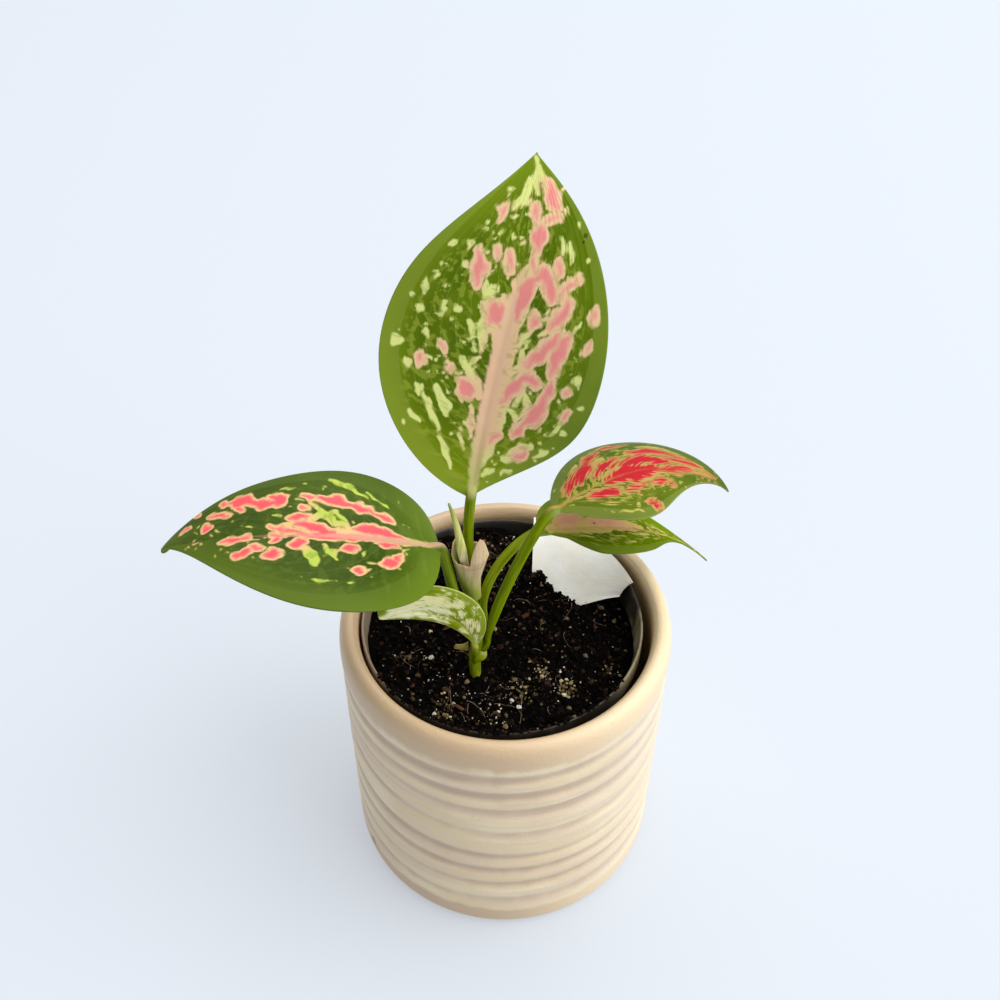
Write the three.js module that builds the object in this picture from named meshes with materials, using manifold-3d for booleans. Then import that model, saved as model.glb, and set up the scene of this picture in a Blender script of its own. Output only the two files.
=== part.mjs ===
// A young red valentine aglaonema in a hand-thrown ceramic pot, in millimetres, with +Z up.
// The origin is the centre of the pot's flat base. The side that is seen first faces -Y.
import * as THREE from "three";
import Module from "manifold-3d";
import { mergeVertices } from "three/addons/utils/BufferGeometryUtils.js";

const wasm = await Module();
wasm.setup();

// Driving sizes of the pots and the soil
const GAP = 0.3; // between two pieces that touch on the real object
const POT = { radius: 50, height: 97, mouth: 44, inside: 43.2, floor: 6, steps: 64 };
const GROOVES = [15, 24, 33, 42, 55.6, 67, 75, 83]; // heights of the grooves between the thrown ridges
const GROOVE = { depth: 0.9, width: 2.5, drift: 1.1, calmBelow: 8, calmAbove: 92 };
const NURSERY = { x: -1, rim: 42.3, collar: 9, top: 95, base: 31, wall: 0.9, sheet: 1, steps: 72 };
const DRAIN = { holes: 4, radius: 3.5, away: 20 };
const SOIL = { level: 88.6, lump: 0.75, dip: 3, dipFrom: 12, dipTo: 38, steps: 44 };
const CLUMP = { x: 10, y: 20.5, height: 2.6, spread: 3.2 }; // soil that lies over a corner of the label
const NURSERY_FOOT = POT.floor + GAP;
const SOIL_FOOT = NURSERY_FOOT + NURSERY.sheet + GAP;

// Driving sizes of the plant
const BLADE = 0.7; // thickness of a blade
const ACROSS = [-1, -0.85, -0.55, -0.2, 0, 0.2, 0.55, 0.85, 1]; // columns from the right margin to the left
const BLADE_ROWS = 15;
const PETIOLE_ROWS = 7;
const STEM = {
  line: [
    [-8.7, -16.7, 76],
    [-8.7, -16.6, 88],
    [-8.9, -15.5, 95],
    [-8.1, -15, 101.5],
    [-8.2, -14.8, 107],
    [-8.4, -14.4, 115.8],
  ],
  radius: [1.5, 1.6, 1.8, 1.9, 1.7, 1.3],
  bud: { at: [-6.3, -16, 96.5], radius: 1.6, height: 2.5 },
};

// Each leaf is a petiole that runs into a blade. Angles are in degrees: heading is about +Z from +X, rise is above
// the level, and turn, hook, droop and nod are how much they change over the blade's length and its square.
// Seen from above with the tip ahead, left and right are the two halves of the blade. A half may have a shoulder,
// the share of the length where it widens at once, and a tip may be blunt, with that radius.
const LEAVES = {
  leaf_upright: {
    petiole: { from: [-8.8, -13.8, 117.2], via: [-10.6, -12.2, 129], reach: 10.7, foot: 1.1, radius: 1.4 },
    base: [-9.5, -8, 151.5],
    length: 89.5,
    heading: 59,
    turn: -70,
    hook: 104,
    rise: 76,
    droop: -3,
    nod: -21,
    roll: 26,
    twist: -33,
    left: { width: 31.2, fullness: 0.75, taper: 1 },
    right: { width: 28.4, fullness: 1.15, taper: 1.2 },
    fold: 8,
    cup: 0,
    colour: "#6f9a35",
  },
  leaf_left: {
    petiole: { from: [-10.9, -15.9, 112], via: [-14.8, -20, 121], reach: 2.5, foot: 1, radius: 1.5 },
    base: [-18, -13, 137.5],
    length: 79,
    heading: 191,
    turn: -26,
    hook: 0,
    rise: 24,
    droop: -54,
    nod: 0,
    roll: 3,
    twist: -11,
    left: { width: 27.6, fullness: 0.6, taper: 1.6 },
    right: { width: 23.2, fullness: 0.3, taper: 0.6 },
    tip: 1.6,
    fold: 8,
    cup: -1.6,
    colour: "#4f7a2d",
  },
  leaf_right_upper: {
    petiole: { from: [-5.1, -15.9, 103], via: [-5.2, -16, 112.6], reach: 5, foot: 0.9, radius: 1.5 },
    base: [12, -5.5, 144],
    length: 59.5,
    heading: 36,
    turn: 11,
    hook: -66,
    rise: 8,
    droop: -21,
    nod: -23,
    roll: -10,
    twist: 8,
    left: { width: 20, fullness: 0.85, taper: 0.9 },
    right: { width: 15.8, fullness: 1.3, taper: 2.05 },
    fold: 1,
    cup: -4.2,
    colour: "#b8474a",
  },
  leaf_right_lower: {
    petiole: { from: [-6.2, -12.4, 110.5], via: [-8, -7, 119.6], reach: 6.9, foot: 1, radius: 1.4 },
    base: [9.5, 0, 131],
    length: 68,
    heading: 32,
    turn: -15,
    hook: -10,
    rise: -22,
    droop: 12,
    nod: -43,
    roll: -4,
    twist: -21,
    left: { width: 15.6, fullness: 0.6, taper: 1 },
    right: { width: 21.8, fullness: 1.1, taper: 3, shoulder: 0.12 },
    fold: 12,
    cup: -0.4,
    colour: "#8d8a4a",
  },
  leaf_small: {
    petiole: { from: [-8.8, -18.2, 98.4], via: [-8.8, -18.6, 100.4], reach: 1.4, foot: 0.7, radius: 0.9 },
    base: [-8.6, -18.5, 103.3],
    length: 36.5,
    heading: 187,
    turn: 12,
    hook: 0,
    rise: 83,
    droop: -94,
    nod: 0,
    roll: -88,
    twist: 10,
    left: { width: 3.2, fullness: 0.8, taper: 0.6 },
    right: { width: 10, fullness: 0.8, taper: 0.5 },
    fold: 14,
    cup: -1.2,
    colour: "#b9c47a",
  },
};

// The sheath is a funnel round the petiole. Its edge is level but for a tongue at the front right and a low wing
// at the back left: each has the angle of its middle and half its width in degrees, and its height.
const SHEATH = {
  line: [
    [-9.2, -13.6, 119.5],
    [-10.2, -13.25, 127],
    [-9.7, -13.3, 136.5],
  ],
  narrow: 2.2,
  wide: 4.9,
  spread: 1.35,
  inward: 0.12, // how much narrower it gets in each millimetre above its line
  edge: 135.4,
  tongue: { middle: -50, half: 40, height: 8.6 },
  wing: { middle: 145, half: 52, height: 4.2 },
  slit: 6, // half the angle of the slit at the back
  wall: 0.6,
};
const SPEAR = {
  line: [
    [-11, -15.2, 129.6],
    [-11.2, -15.2, 133.5],
    [-11.9, -15.3, 139.5],
    [-12.7, -14.9, 145],
    [-13.8, -14.3, 150.3],
    [-15, -13.8, 154.6],
  ],
  radius: [0.7, 1.2, 1.45, 1.1, 0.7, 0.35],
};
const SCALE = { at: [-10.7, -16.3, 99.6], length: 3.6, height: 4.2, wall: 0.6 };

// The label: it comes out of the soil along a curved line, and its upper edge lies over the nursery pot's rim
const LABEL = {
  lower: [[8.3, 18.5, 88], [14, 13, 87.2], [35.5, 12.3, 91.2]],
  into: [-0.8, -3, -2.4], // the way it goes on under the soil, at its left end
  outFrom: 0.5, // share of its length from which it lies less deep
  upperRadius: 42,
  upperZ: 96.7,
  from: 76, // degrees round the nursery pot, from +X
  to: 17.5,
  belly: 0.9,
  wall: 0.7,
};

// Loose grains that lie half sunk in the soil: x, y and radius
const PERLITE = [[18, -24, 1.6], [-20, -31, 1.3], [4, -29, 1.1], [24, -9, 1.2], [-22, -12, 1.2], [-2, 22, 1.4]];
const BARK = [[-13, -30, 2.6, 20], [8, -12, 2.2, 75], [-27, -20, 2.3, 130]]; // and the way it lies, in degrees

const { degToRad, lerp, smoothstep, clamp } = THREE.MathUtils;
const vector = (xyz) => new THREE.Vector3(...xyz);

// A geometry as a solid that can be cut and joined.
function toSolid(geometry) {
  const bare = geometry.clone();
  bare.deleteAttribute("normal");
  bare.deleteAttribute("uv");
  const merged = mergeVertices(bare, 1e-3);
  const mesh = new wasm.Mesh({
    numProp: 3,
    vertProperties: merged.attributes.position.array,
    triVerts: new Uint32Array(merged.index.array),
  });
  return new wasm.Manifold(mesh);
}

function toGeometry(solid) {
  const mesh = solid.getMesh();
  const geometry = new THREE.BufferGeometry();
  geometry.setAttribute("position", new THREE.BufferAttribute(mesh.vertProperties, 3));
  geometry.setIndex(new THREE.BufferAttribute(mesh.triVerts, 1));
  return geometry;
}

function fromPoints(points, triangles) {
  const geometry = new THREE.BufferGeometry().setFromPoints(points);
  geometry.setIndex(triangles);
  return geometry;
}

// A profile of [radius, height] turned about Z.
function turned(profile, steps) {
  const points = profile.map(([radius, height]) => new THREE.Vector2(radius, height));
  return new THREE.LatheGeometry(points, steps).rotateX(Math.PI / 2);
}

// Moves every vertex of a geometry by a function that changes the vector it is given.
function reshape(geometry, change) {
  const position = geometry.attributes.position;
  const point = new THREE.Vector3();
  for (let i = 0; i < position.count; i++) {
    point.fromBufferAttribute(position, i);
    change(point);
    position.setXYZ(i, point.x, point.y, point.z);
  }
  return geometry;
}

// A closed thin body between two grids of points with the same rows and columns, split into triangles alike.
function slab(top, under) {
  const rows = top.length;
  const columns = top[0].length;
  const triangles = [];
  const upper = (r, c) => r * columns + c;
  const lower = (r, c) => (rows + r) * columns + c;
  const quad = (a, b, c, d) => triangles.push(a, b, c, a, c, d);
  for (let r = 0; r + 1 < rows; r++) {
    for (let c = 0; c + 1 < columns; c++) {
      quad(upper(r, c), upper(r + 1, c), upper(r + 1, c + 1), upper(r, c + 1));
      triangles.push(lower(r, c), lower(r + 1, c + 1), lower(r + 1, c));
      triangles.push(lower(r, c), lower(r, c + 1), lower(r + 1, c + 1));
    }
    quad(upper(r, 0), lower(r, 0), lower(r + 1, 0), upper(r + 1, 0));
    const c = columns - 1;
    quad(upper(r, c), upper(r + 1, c), lower(r + 1, c), lower(r, c));
  }
  for (let c = 0; c + 1 < columns; c++) {
    quad(upper(0, c), upper(0, c + 1), lower(0, c + 1), lower(0, c));
    quad(upper(rows - 1, c), lower(rows - 1, c), lower(rows - 1, c + 1), upper(rows - 1, c + 1));
  }
  return fromPoints([...top.flat(), ...under.flat()], triangles);
}

// A thin sheet of that wall about a grid of points: each point is moved half the wall along the grid's normal.
function sheet(grid, wall) {
  const side = (r, c) => grid[clamp(r, 0, grid.length - 1)][clamp(c, 0, grid[0].length - 1)];
  const shifted = (sign) =>
    grid.map((row, r) =>
      row.map((point, c) => {
        const along = side(r + 1, c).clone().sub(side(r - 1, c));
        const across = side(r, c + 1).clone().sub(side(r, c - 1));
        const normal = along.cross(across).normalize();
        return point.clone().addScaledVector(normal, (sign * wall) / 2);
      }),
    );
  return slab(shifted(1), shifted(-1));
}

// A round body along a smooth line; its radius at each of the line's points is given.
function limb(line, radii, { sides = 10, steps = 16, extra = 0 } = {}) {
  const curve = new THREE.CatmullRomCurve3(line.map(vector));
  const frames = curve.computeFrenetFrames(steps);
  const points = [];
  for (let i = 0; i <= steps; i++) {
    const at = (i / steps) * (radii.length - 1);
    const k = Math.min(Math.floor(at), radii.length - 2);
    const radius = lerp(radii[k], radii[k + 1], at - k) + extra;
    const centre = curve.getPoint(i / steps);
    for (let j = 0; j < sides; j++) {
      const angle = (2 * Math.PI * j) / sides;
      const point = centre.clone();
      point.addScaledVector(frames.normals[i], radius * Math.cos(angle));
      point.addScaledVector(frames.binormals[i], radius * Math.sin(angle));
      points.push(point);
    }
  }
  const triangles = [];
  for (let i = 0; i < steps; i++) {
    for (let j = 0; j < sides; j++) {
      const a = i * sides + j;
      const b = i * sides + ((j + 1) % sides);
      triangles.push(a, b, b + sides, a, b + sides, a + sides);
    }
  }
  const last = steps * sides;
  for (let j = 1; j + 1 < sides; j++) {
    triangles.push(0, j + 1, j, last, last + j, last + j + 1);
  }
  return fromPoints(points, triangles);
}

// How deep the ridged wall is cut at a height, as a share of the full groove.
function grooveShare(z) {
  const shares = GROOVES.map((height) => Math.exp(-(((z - height) / GROOVE.width) ** 2)));
  return Math.min(1, Math.max(...shares));
}

// The thrown ridges wander up and down round the pot, and are deeper on some sides than on others.
function throwRidges(point) {
  const radius = Math.hypot(point.x, point.y);
  if (radius < POT.radius - 3) return;
  const angle = Math.atan2(point.y, point.x);
  const z = point.z;
  const calm = smoothstep(z, GROOVE.calmBelow, 20) * (1 - smoothstep(z, 82, GROOVE.calmAbove));
  const wander = Math.sin(angle + 1.3 + z / 14) + 0.5 * Math.sin(2 * angle + 0.4 - z / 9);
  const strength = 0.8 + 0.2 * Math.sin(2 * angle + z / 7);
  const cut = radius - GROOVE.depth * strength * grooveShare(z);
  point.x *= cut / radius;
  point.y *= cut / radius;
  point.z += GROOVE.drift * calm * wander;
}

function ceramicPot() {
  const { radius, height, mouth, inside, floor } = POT;
  const ridges = [];
  GROOVES.forEach((z, i) => {
    ridges.push([radius, z]);
    const next = GROOVES[i + 1];
    if (next) ridges.push([radius, lerp(z, next, 0.33)], [radius, lerp(z, next, 0.67)]);
  });
  const profile = [
    [0, 0],
    [radius - 4, 0],
    [radius - 1.4, 0.8],
    [radius - 0.2, 3.2],
    [radius, 8],
    [radius, 12],
    ...ridges,
    [radius, 86.5],
    [radius, 91],
    [radius - 0.4, height - 2.6],
    [radius - 1.6, height - 0.7],
    [radius - 3.2, height],
    [radius - 4.7, height - 0.5],
    [mouth + 0.3, height - 1.8],
    [mouth, height - 4],
    [inside, floor + 4],
    [inside - 3, floor],
    [0, floor],
  ];
  return reshape(turned(profile, POT.steps), throwRidges);
}

// Radius of the nursery pot's tapered wall at a height, outside and inside.
function nurseryOutside(z) {
  const share = (z - NURSERY_FOOT) / (NURSERY.top - NURSERY_FOOT);
  return lerp(NURSERY.base, NURSERY.rim, share);
}

function nurseryInside(z) {
  return nurseryOutside(z) - NURSERY.wall;
}

function nurseryPot() {
  const { rim, base, wall, top, collar, sheet: floor, steps } = NURSERY;
  const step = top - collar;
  const body = nurseryOutside(step);
  const profile = [
    [0, NURSERY_FOOT],
    [base, NURSERY_FOOT],
    [body, step],
    [rim, step + 0.6],
    [rim, top - 0.3],
    [rim - 0.3, top],
    [rim - wall + 0.2, top],
    [rim - wall, top - 0.4],
    [nurseryInside(NURSERY_FOOT + floor), NURSERY_FOOT + floor],
    [0, NURSERY_FOOT + floor],
  ];
  let pot = toSolid(turned(profile, steps));
  for (let i = 0; i < DRAIN.holes; i++) {
    const angle = (2 * Math.PI * (i + 0.5)) / DRAIN.holes;
    const hole = new THREE.CylinderGeometry(DRAIN.radius, DRAIN.radius, 4 * floor, 16).rotateX(Math.PI / 2);
    hole.translate(DRAIN.away * Math.cos(angle), DRAIN.away * Math.sin(angle), NURSERY_FOOT);
    pot = pot.subtract(toSolid(hole));
  }
  return toGeometry(pot).translate(NURSERY.x, 0, 0);
}

// Height of the soil's lumpy surface.
function soilHeight(x, y) {
  const dip = SOIL.dip * smoothstep(x, SOIL.dipFrom, SOIL.dipTo);
  const broad = Math.sin(0.31 * x + 1.2 * Math.sin(0.17 * y)) * Math.sin(0.27 * y + 0.8 * Math.sin(0.21 * x));
  const fine = Math.sin(0.83 * x + 2 + Math.sin(0.5 * y)) * Math.sin(0.77 * y + 1 + Math.sin(0.6 * x));
  const away = Math.hypot(x - CLUMP.x, y - CLUMP.y) / CLUMP.spread;
  return SOIL.level - dip + SOIL.lump * (broad + 0.8 * fine) + CLUMP.height * Math.exp(-(away ** 2));
}

function soilSolid(cuts) {
  const foot = nurseryInside(SOIL_FOOT) - GAP;
  const edge = nurseryInside(SOIL.level) - GAP;
  const rings = [38, 35, 31.5, 28, 24.5, 21, 17.5, 14, 10, 5.5];
  const profile = [
    [0, SOIL_FOOT],
    [foot, SOIL_FOOT],
    [edge, SOIL.level],
    ...rings.map((radius) => [radius, SOIL.level]),
    [0, SOIL.level],
  ];
  const heap = reshape(turned(profile, SOIL.steps), (point) => {
    const radius = Math.hypot(point.x, point.y);
    if (point.z > SOIL.level - 1) point.z = soilHeight(point.x + NURSERY.x, point.y);
    if (radius > edge - 0.5) {
      const wanted = nurseryInside(point.z) - GAP;
      point.x *= wanted / radius;
      point.y *= wanted / radius;
    }
  });
  heap.translate(NURSERY.x, 0, 0);
  return cuts.reduce((soil, cut) => soil.subtract(toSolid(cut)), toSolid(heap));
}

function stemGeometry() {
  const { at, radius, height } = STEM.bud;
  const bud = new THREE.SphereGeometry(1, 10, 8).rotateX(Math.PI / 2).scale(radius, radius, height).rotateY(0.3);
  bud.translate(...at);
  const stem = toSolid(limb(STEM.line, STEM.radius, { sides: 12, steps: 20 }));
  return toGeometry(stem.add(toSolid(bud)));
}

// Width of a half of the blade at a share s of its length, as a share of its widest.
function outline(s, { fullness, taper, shoulder }) {
  const peak = fullness / (fullness + taper);
  const most = peak ** fullness * (1 - peak) ** taper;
  const narrowed = shoulder ? lerp(0.35, 1, smoothstep(s, shoulder - 0.03, shoulder + 0.02)) : 1;
  return (narrowed * s ** fullness * (1 - s) ** taper) / most;
}

// Half the width of a blunt tip: a circle of the tip's radius that ends at the tip.
function bluntTip(leaf, s) {
  const before = ((1 - s) * leaf.length) / leaf.tip;
  return leaf.tip * Math.sqrt(Math.max(0, before * (2 - before)));
}

// Direction of the midrib, and the directions across the blade and up from it, at a share s of its length.
function bladeFrame(leaf, s) {
  const heading = degToRad(leaf.heading + leaf.turn * s + leaf.hook * s * s);
  const rise = degToRad(leaf.rise + leaf.droop * s + leaf.nod * s * s);
  const roll = degToRad(leaf.roll + leaf.twist * s);
  const along = new THREE.Vector3(
    Math.cos(rise) * Math.cos(heading),
    Math.cos(rise) * Math.sin(heading),
    Math.sin(rise),
  );
  const across = new THREE.Vector3(-Math.sin(heading), Math.cos(heading), 0).applyAxisAngle(along, roll);
  const up = along.clone().cross(across);
  return { along, across, up };
}

// Rows along the midrib, closer together near the base and the tip. The stalk thins into the midrib.
function bladeRows(leaf) {
  const rows = [];
  const at = vector(leaf.base);
  let before = 0;
  for (let i = 0; i <= BLADE_ROWS; i++) {
    const s = 0.5 - 0.5 * Math.cos((Math.PI * i) / BLADE_ROWS);
    const part = (s - before) / 4;
    for (let k = 0; k < 4; k++) {
      at.addScaledVector(bladeFrame(leaf, before + (k + 0.5) * part).along, leaf.length * part);
    }
    rows.push({ ...bladeFrame(leaf, s), at: at.clone(), s, stalk: lerp(leaf.petiole.radius, 0.4, s) });
    before = s;
  }
  return rows;
}

function petioleRows(leaf) {
  const { from, via, reach, foot, radius } = leaf.petiole;
  const frame = bladeFrame(leaf, 0);
  const end = vector(leaf.base);
  const lead = end.clone().addScaledVector(frame.along, -reach);
  const curve = new THREE.CubicBezierCurve3(vector(from), vector(via), lead, end);
  const rows = [];
  for (let i = 0; i < PETIOLE_ROWS; i++) {
    const t = i / PETIOLE_ROWS;
    const along = curve.getTangent(t);
    const across = frame.across.clone().projectOnPlane(along).normalize();
    const up = along.clone().cross(across);
    const stalk = lerp(foot, radius, smoothstep(t, 0, 0.3));
    rows.push({ along, across, up, at: curve.getPoint(t), s: 0, stalk });
  }
  return rows;
}

// A point of a leaf: v runs from -1 at the right margin to 1 at the left, and face is 1 above and -1 below.
function leafPoint(leaf, row, v, face) {
  const half = v > 0 ? leaf.left : leaf.right;
  const share = outline(row.s, half);
  const tip = leaf.tip ? bluntTip(leaf, row.s) : 0;
  const aside = v * Math.max(row.stalk, half.width * share, tip);
  const relief = share * (Math.abs(aside) * Math.tan(degToRad(leaf.fold)) + leaf.cup * v * v);
  const round = Math.sqrt(Math.max(0, row.stalk ** 2 - aside ** 2));
  const flat = face > 0 ? smoothstep(row.s, 0, 0.06) : 0;
  const thick = Math.max(BLADE / 2, round * (1 - flat));
  const point = row.at.clone().addScaledVector(row.across, aside);
  return point.addScaledVector(row.up, relief + face * thick);
}

function leafGeometry(leaf) {
  const rows = [...petioleRows(leaf), ...bladeRows(leaf)];
  const face = (sign) => rows.map((row) => ACROSS.map((v) => leafPoint(leaf, row, v, sign)));
  return slab(face(1), face(-1));
}

// A rounded bump of an edge at an angle: its whole height in the middle, and none beyond half its width.
function edgeBump(angle, { middle, half, height }) {
  const away = (((angle - middle + 540) % 360) - 180) / half;
  return height * Math.max(0, 1 - away * away) ** 0.75;
}

// The papery sheath: a funnel round the upright leaf's petiole and the new leaf.
function sheathGeometry() {
  const rows = 8;
  const columns = 26;
  const [foot, bend, head] = SHEATH.line.map(vector);
  const grid = [];
  for (let r = 0; r <= rows; r++) {
    const row = [];
    for (let c = 0; c <= columns; c++) {
      const angle = lerp(90 + SHEATH.slit, 450 - SHEATH.slit, c / columns);
      const edge = SHEATH.edge + edgeBump(angle, SHEATH.tongue) + edgeBump(angle, SHEATH.wing);
      const z = lerp(foot.z, edge, r / rows);
      const lower = clamp((z - foot.z) / (bend.z - foot.z), 0, 1);
      const upper = clamp((z - bend.z) / (head.z - bend.z), 0, 1);
      const centre = foot.clone().lerp(bend, lower).lerp(head, upper);
      const share = Math.min(1, (z - foot.z) / (head.z - foot.z));
      const over = Math.max(0, z - head.z);
      const radius = lerp(SHEATH.narrow, SHEATH.wide, share ** SHEATH.spread) - SHEATH.inward * over;
      const x = centre.x + radius * Math.cos(degToRad(angle));
      row.push(new THREE.Vector3(x, centre.y + radius * Math.sin(degToRad(angle)), z));
    }
    grid.push(row);
  }
  return sheet(grid, SHEATH.wall);
}

// A dry scale that is left of an old sheath, under the small leaf.
function scaleGeometry() {
  const grid = [];
  for (let r = 0; r <= 3; r++) {
    const row = [];
    for (let c = 0; c <= 4; c++) {
      const out = r / 3;
      const rise = (c / 4 - 0.5) * (1 - 0.6 * out);
      const x = SCALE.at[0] - SCALE.length * out;
      const y = SCALE.at[1] - 0.9 * Math.sin(2.2 * out) + 1.2 * rise * rise;
      row.push(new THREE.Vector3(x, y, SCALE.at[2] + SCALE.height * rise + 1.1 * out));
    }
    grid.push(row);
  }
  return sheet(grid, SCALE.wall);
}

// The plain label: straight lines from its curved lower edge in the soil to the rim, with a slight belly.
function labelGeometry(extra = 0) {
  const rows = 8;
  const columns = 12;
  const into = vector(LABEL.into);
  const deeper = extra / into.length();
  const wider = extra / 8;
  const lower = new THREE.QuadraticBezierCurve3(...LABEL.lower.map(vector));
  const grid = [];
  for (let r = 0; r <= rows; r++) {
    const b = (r - 1) / (rows - 1);
    const row = [];
    for (let c = 0; c <= columns; c++) {
      const a = lerp(-wider, 1 + wider, c / columns);
      const low = lower.getPoint(a);
      const angle = degToRad(lerp(LABEL.from, LABEL.to, a));
      const x = NURSERY.x + LABEL.upperRadius * Math.cos(angle);
      const y = LABEL.upperRadius * Math.sin(angle);
      const z = lerp(low.z, LABEL.upperZ, b) + LABEL.belly * Math.sin(Math.PI * b);
      const shown = new THREE.Vector3(lerp(low.x, x, b), lerp(low.y, y, b), z);
      const depth = lerp(1, 0.15, smoothstep(a, LABEL.outFrom, 1)) + deeper;
      const buried = low.clone().addScaledVector(into, depth);
      row.push(r === 0 ? buried : shown);
    }
    grid.push(row);
  }
  return sheet(grid, LABEL.wall + 2 * extra);
}

function perliteGrain([x, y, radius], extra = 0) {
  const grain = new THREE.IcosahedronGeometry(radius + extra / 0.64, 0).scale(1, 0.85, 0.8).rotateZ(x);
  return grain.translate(x, y, soilHeight(x, y) + 0.2 * radius);
}

function barkChip([x, y, half, turn], extra = 0) {
  const size = 2 * extra;
  const chip = new THREE.BoxGeometry(2 * half + size, 1.6 + size, 1.3 + size, 2, 1, 1);
  chip.rotateX(0.35).rotateZ(degToRad(turn));
  return chip.translate(x, y, soilHeight(x, y) + 0.35);
}

const group = new THREE.Group();

function addPiece(name, geometry, colour, roughness) {
  const material = new THREE.MeshStandardMaterial({ color: colour, roughness, metalness: 0 });
  const mesh = new THREE.Mesh(geometry, material);
  mesh.name = name;
  group.add(mesh);
}

addPiece("ceramic_pot", ceramicPot(), "#dcc8a4", 0.45);
addPiece("nursery_pot", nurseryPot(), "#2b2b2a", 0.5);
addPiece("stem", stemGeometry(), "#7d9a2e", 0.5);
for (const [name, leaf] of Object.entries(LEAVES)) {
  addPiece(name, leafGeometry(leaf), leaf.colour, 0.4);
}
addPiece("sheath", sheathGeometry(), "#c9b48c", 0.6);
addPiece("new_leaf_spear", limb(SPEAR.line, SPEAR.radius, { sides: 8, steps: 14 }), "#c3cd85", 0.5);
addPiece("dry_scale", scaleGeometry(), "#8a7a5c", 0.8);
addPiece("plant_label", labelGeometry(), "#e8e4d8", 0.5);
PERLITE.forEach((grain, i) => addPiece(`perlite_${i + 1}`, perliteGrain(grain), "#e6e2d6", 0.9));
BARK.forEach((chip, i) => addPiece(`bark_${i + 1}`, barkChip(chip), "#5b4030", 0.9));

const [[footX, footY, footZ], ...stemLine] = STEM.line;
const cuts = [
  limb([[footX, footY, footZ - GAP], ...stemLine], STEM.radius, { sides: 12, steps: 20, extra: GAP }),
  labelGeometry(GAP),
  ...PERLITE.map((grain) => perliteGrain(grain, GAP)),
  ...BARK.map((chip) => barkChip(chip, GAP)),
];
addPiece("soil", toGeometry(soilSolid(cuts)), "#2e211a", 0.95);

export default group;
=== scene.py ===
# %% [markdown]
# A potted red valentine aglaonema
#
# This notebook dresses a young aroid house plant in a small hand-thrown pot. The solids of the pot, the
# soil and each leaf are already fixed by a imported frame. The frame is loaded first. Most finer surfaces
# that are made here stand in the place of its solids. Crumbs, fibres and a bud are added to them.

import bpy
import numpy as np
from mathutils import Matrix, Vector


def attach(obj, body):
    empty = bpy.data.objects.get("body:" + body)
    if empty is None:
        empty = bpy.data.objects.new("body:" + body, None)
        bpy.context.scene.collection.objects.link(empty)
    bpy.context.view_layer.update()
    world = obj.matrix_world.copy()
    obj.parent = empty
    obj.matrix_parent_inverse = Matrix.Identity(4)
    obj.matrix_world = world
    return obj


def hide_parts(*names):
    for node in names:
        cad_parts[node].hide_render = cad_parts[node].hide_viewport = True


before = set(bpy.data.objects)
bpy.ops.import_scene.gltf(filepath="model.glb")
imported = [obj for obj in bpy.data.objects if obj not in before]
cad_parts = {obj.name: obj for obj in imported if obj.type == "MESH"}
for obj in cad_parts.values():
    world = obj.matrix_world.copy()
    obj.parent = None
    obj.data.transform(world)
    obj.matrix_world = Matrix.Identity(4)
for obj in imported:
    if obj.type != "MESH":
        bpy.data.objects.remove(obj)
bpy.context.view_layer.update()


# %% [markdown]
# Surfaces from arrays
#
# A pot, a stem and a leaf are all one kind of surface: a row of closed rings, each ring a cross-section.
# Blender could lathe or loft them by hand, but with numpy a whole piece is one formula on a grid, and
# nearly all the values that shaped the solid shape the finer surface. Sizes are in millimetres here and
# become metres in the mesh.

# %% Rings, sheets and strips
MM = 0.001


def lerp(low, high, share):
    """low + (high - low) share."""
    return low + (high - low) * share


def smooth_step(value, low, high):
    """0 below low, 1 above high, and 3t^2 - 2t^3 between them, t the share of the way."""
    t = np.clip((np.asarray(value, float) - low) / (high - low), 0, 1)
    return t * t * (3 - 2 * t)


def unit(vectors):
    """Each vector divided by its length."""
    return vectors / np.linalg.norm(vectors, axis=-1, keepdims=True)


def waves(points, length, seed, count=14):
    """Smooth noise of about -1 to 1: a sum of sine waves of about that length in seeded directions."""
    random = np.random.default_rng(seed)
    directions = unit(random.normal(size=(count, points.shape[-1])))
    steps = 2 * np.pi / (length * random.uniform(0.7, 1.4, count))
    phases = random.uniform(0, 2 * np.pi, count)
    return np.sin(points @ directions.T * steps + phases).sum(-1) * (1.4 / count) ** 0.5 / 1.4


def put_mesh(name, points, faces, shares=None, smooth=True):
    """An object from points in mm and face arrays; shares are attributes of one or three numbers."""
    mesh = bpy.data.meshes.new(name)
    mesh.vertices.add(len(points))
    mesh.vertices.foreach_set("co", (np.asarray(points) * MM).astype(np.float32).ravel())
    corners = np.concatenate([part.ravel() for part in faces])
    sizes = np.concatenate([np.full(len(part), part.shape[1]) for part in faces])
    mesh.loops.add(len(corners))
    mesh.loops.foreach_set("vertex_index", corners.astype(np.int32))
    mesh.polygons.add(len(sizes))
    mesh.polygons.foreach_set("loop_start", np.concatenate([[0], np.cumsum(sizes)[:-1]]).astype(np.int32))
    mesh.polygons.foreach_set("use_smooth", np.full(len(sizes), smooth))
    mesh.update(calc_edges=True)
    for key, values in (shares or {}).items():
        values = np.asarray(values, np.float32)
        kind = "FLOAT_VECTOR" if values.ndim > 1 else "FLOAT"
        layer = mesh.attributes.new(key, kind, "POINT")
        layer.data.foreach_set("vector" if values.ndim > 1 else "value", values.ravel())
    piece = bpy.data.objects.new(name, mesh)
    bpy.context.scene.collection.objects.link(piece)
    triangles = int((sizes - 2).sum())
    print(f"{name}: {len(points)} points, {triangles} triangles")
    return piece


def volume(points, quads):
    """Six times the volume inside quads: the sum of each triangle's triple product."""
    a, b, c, d = (points[quads[:, k]] for k in range(4))
    return float((np.cross(a, b) * c).sum() + (np.cross(a, c) * d).sum())


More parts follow.
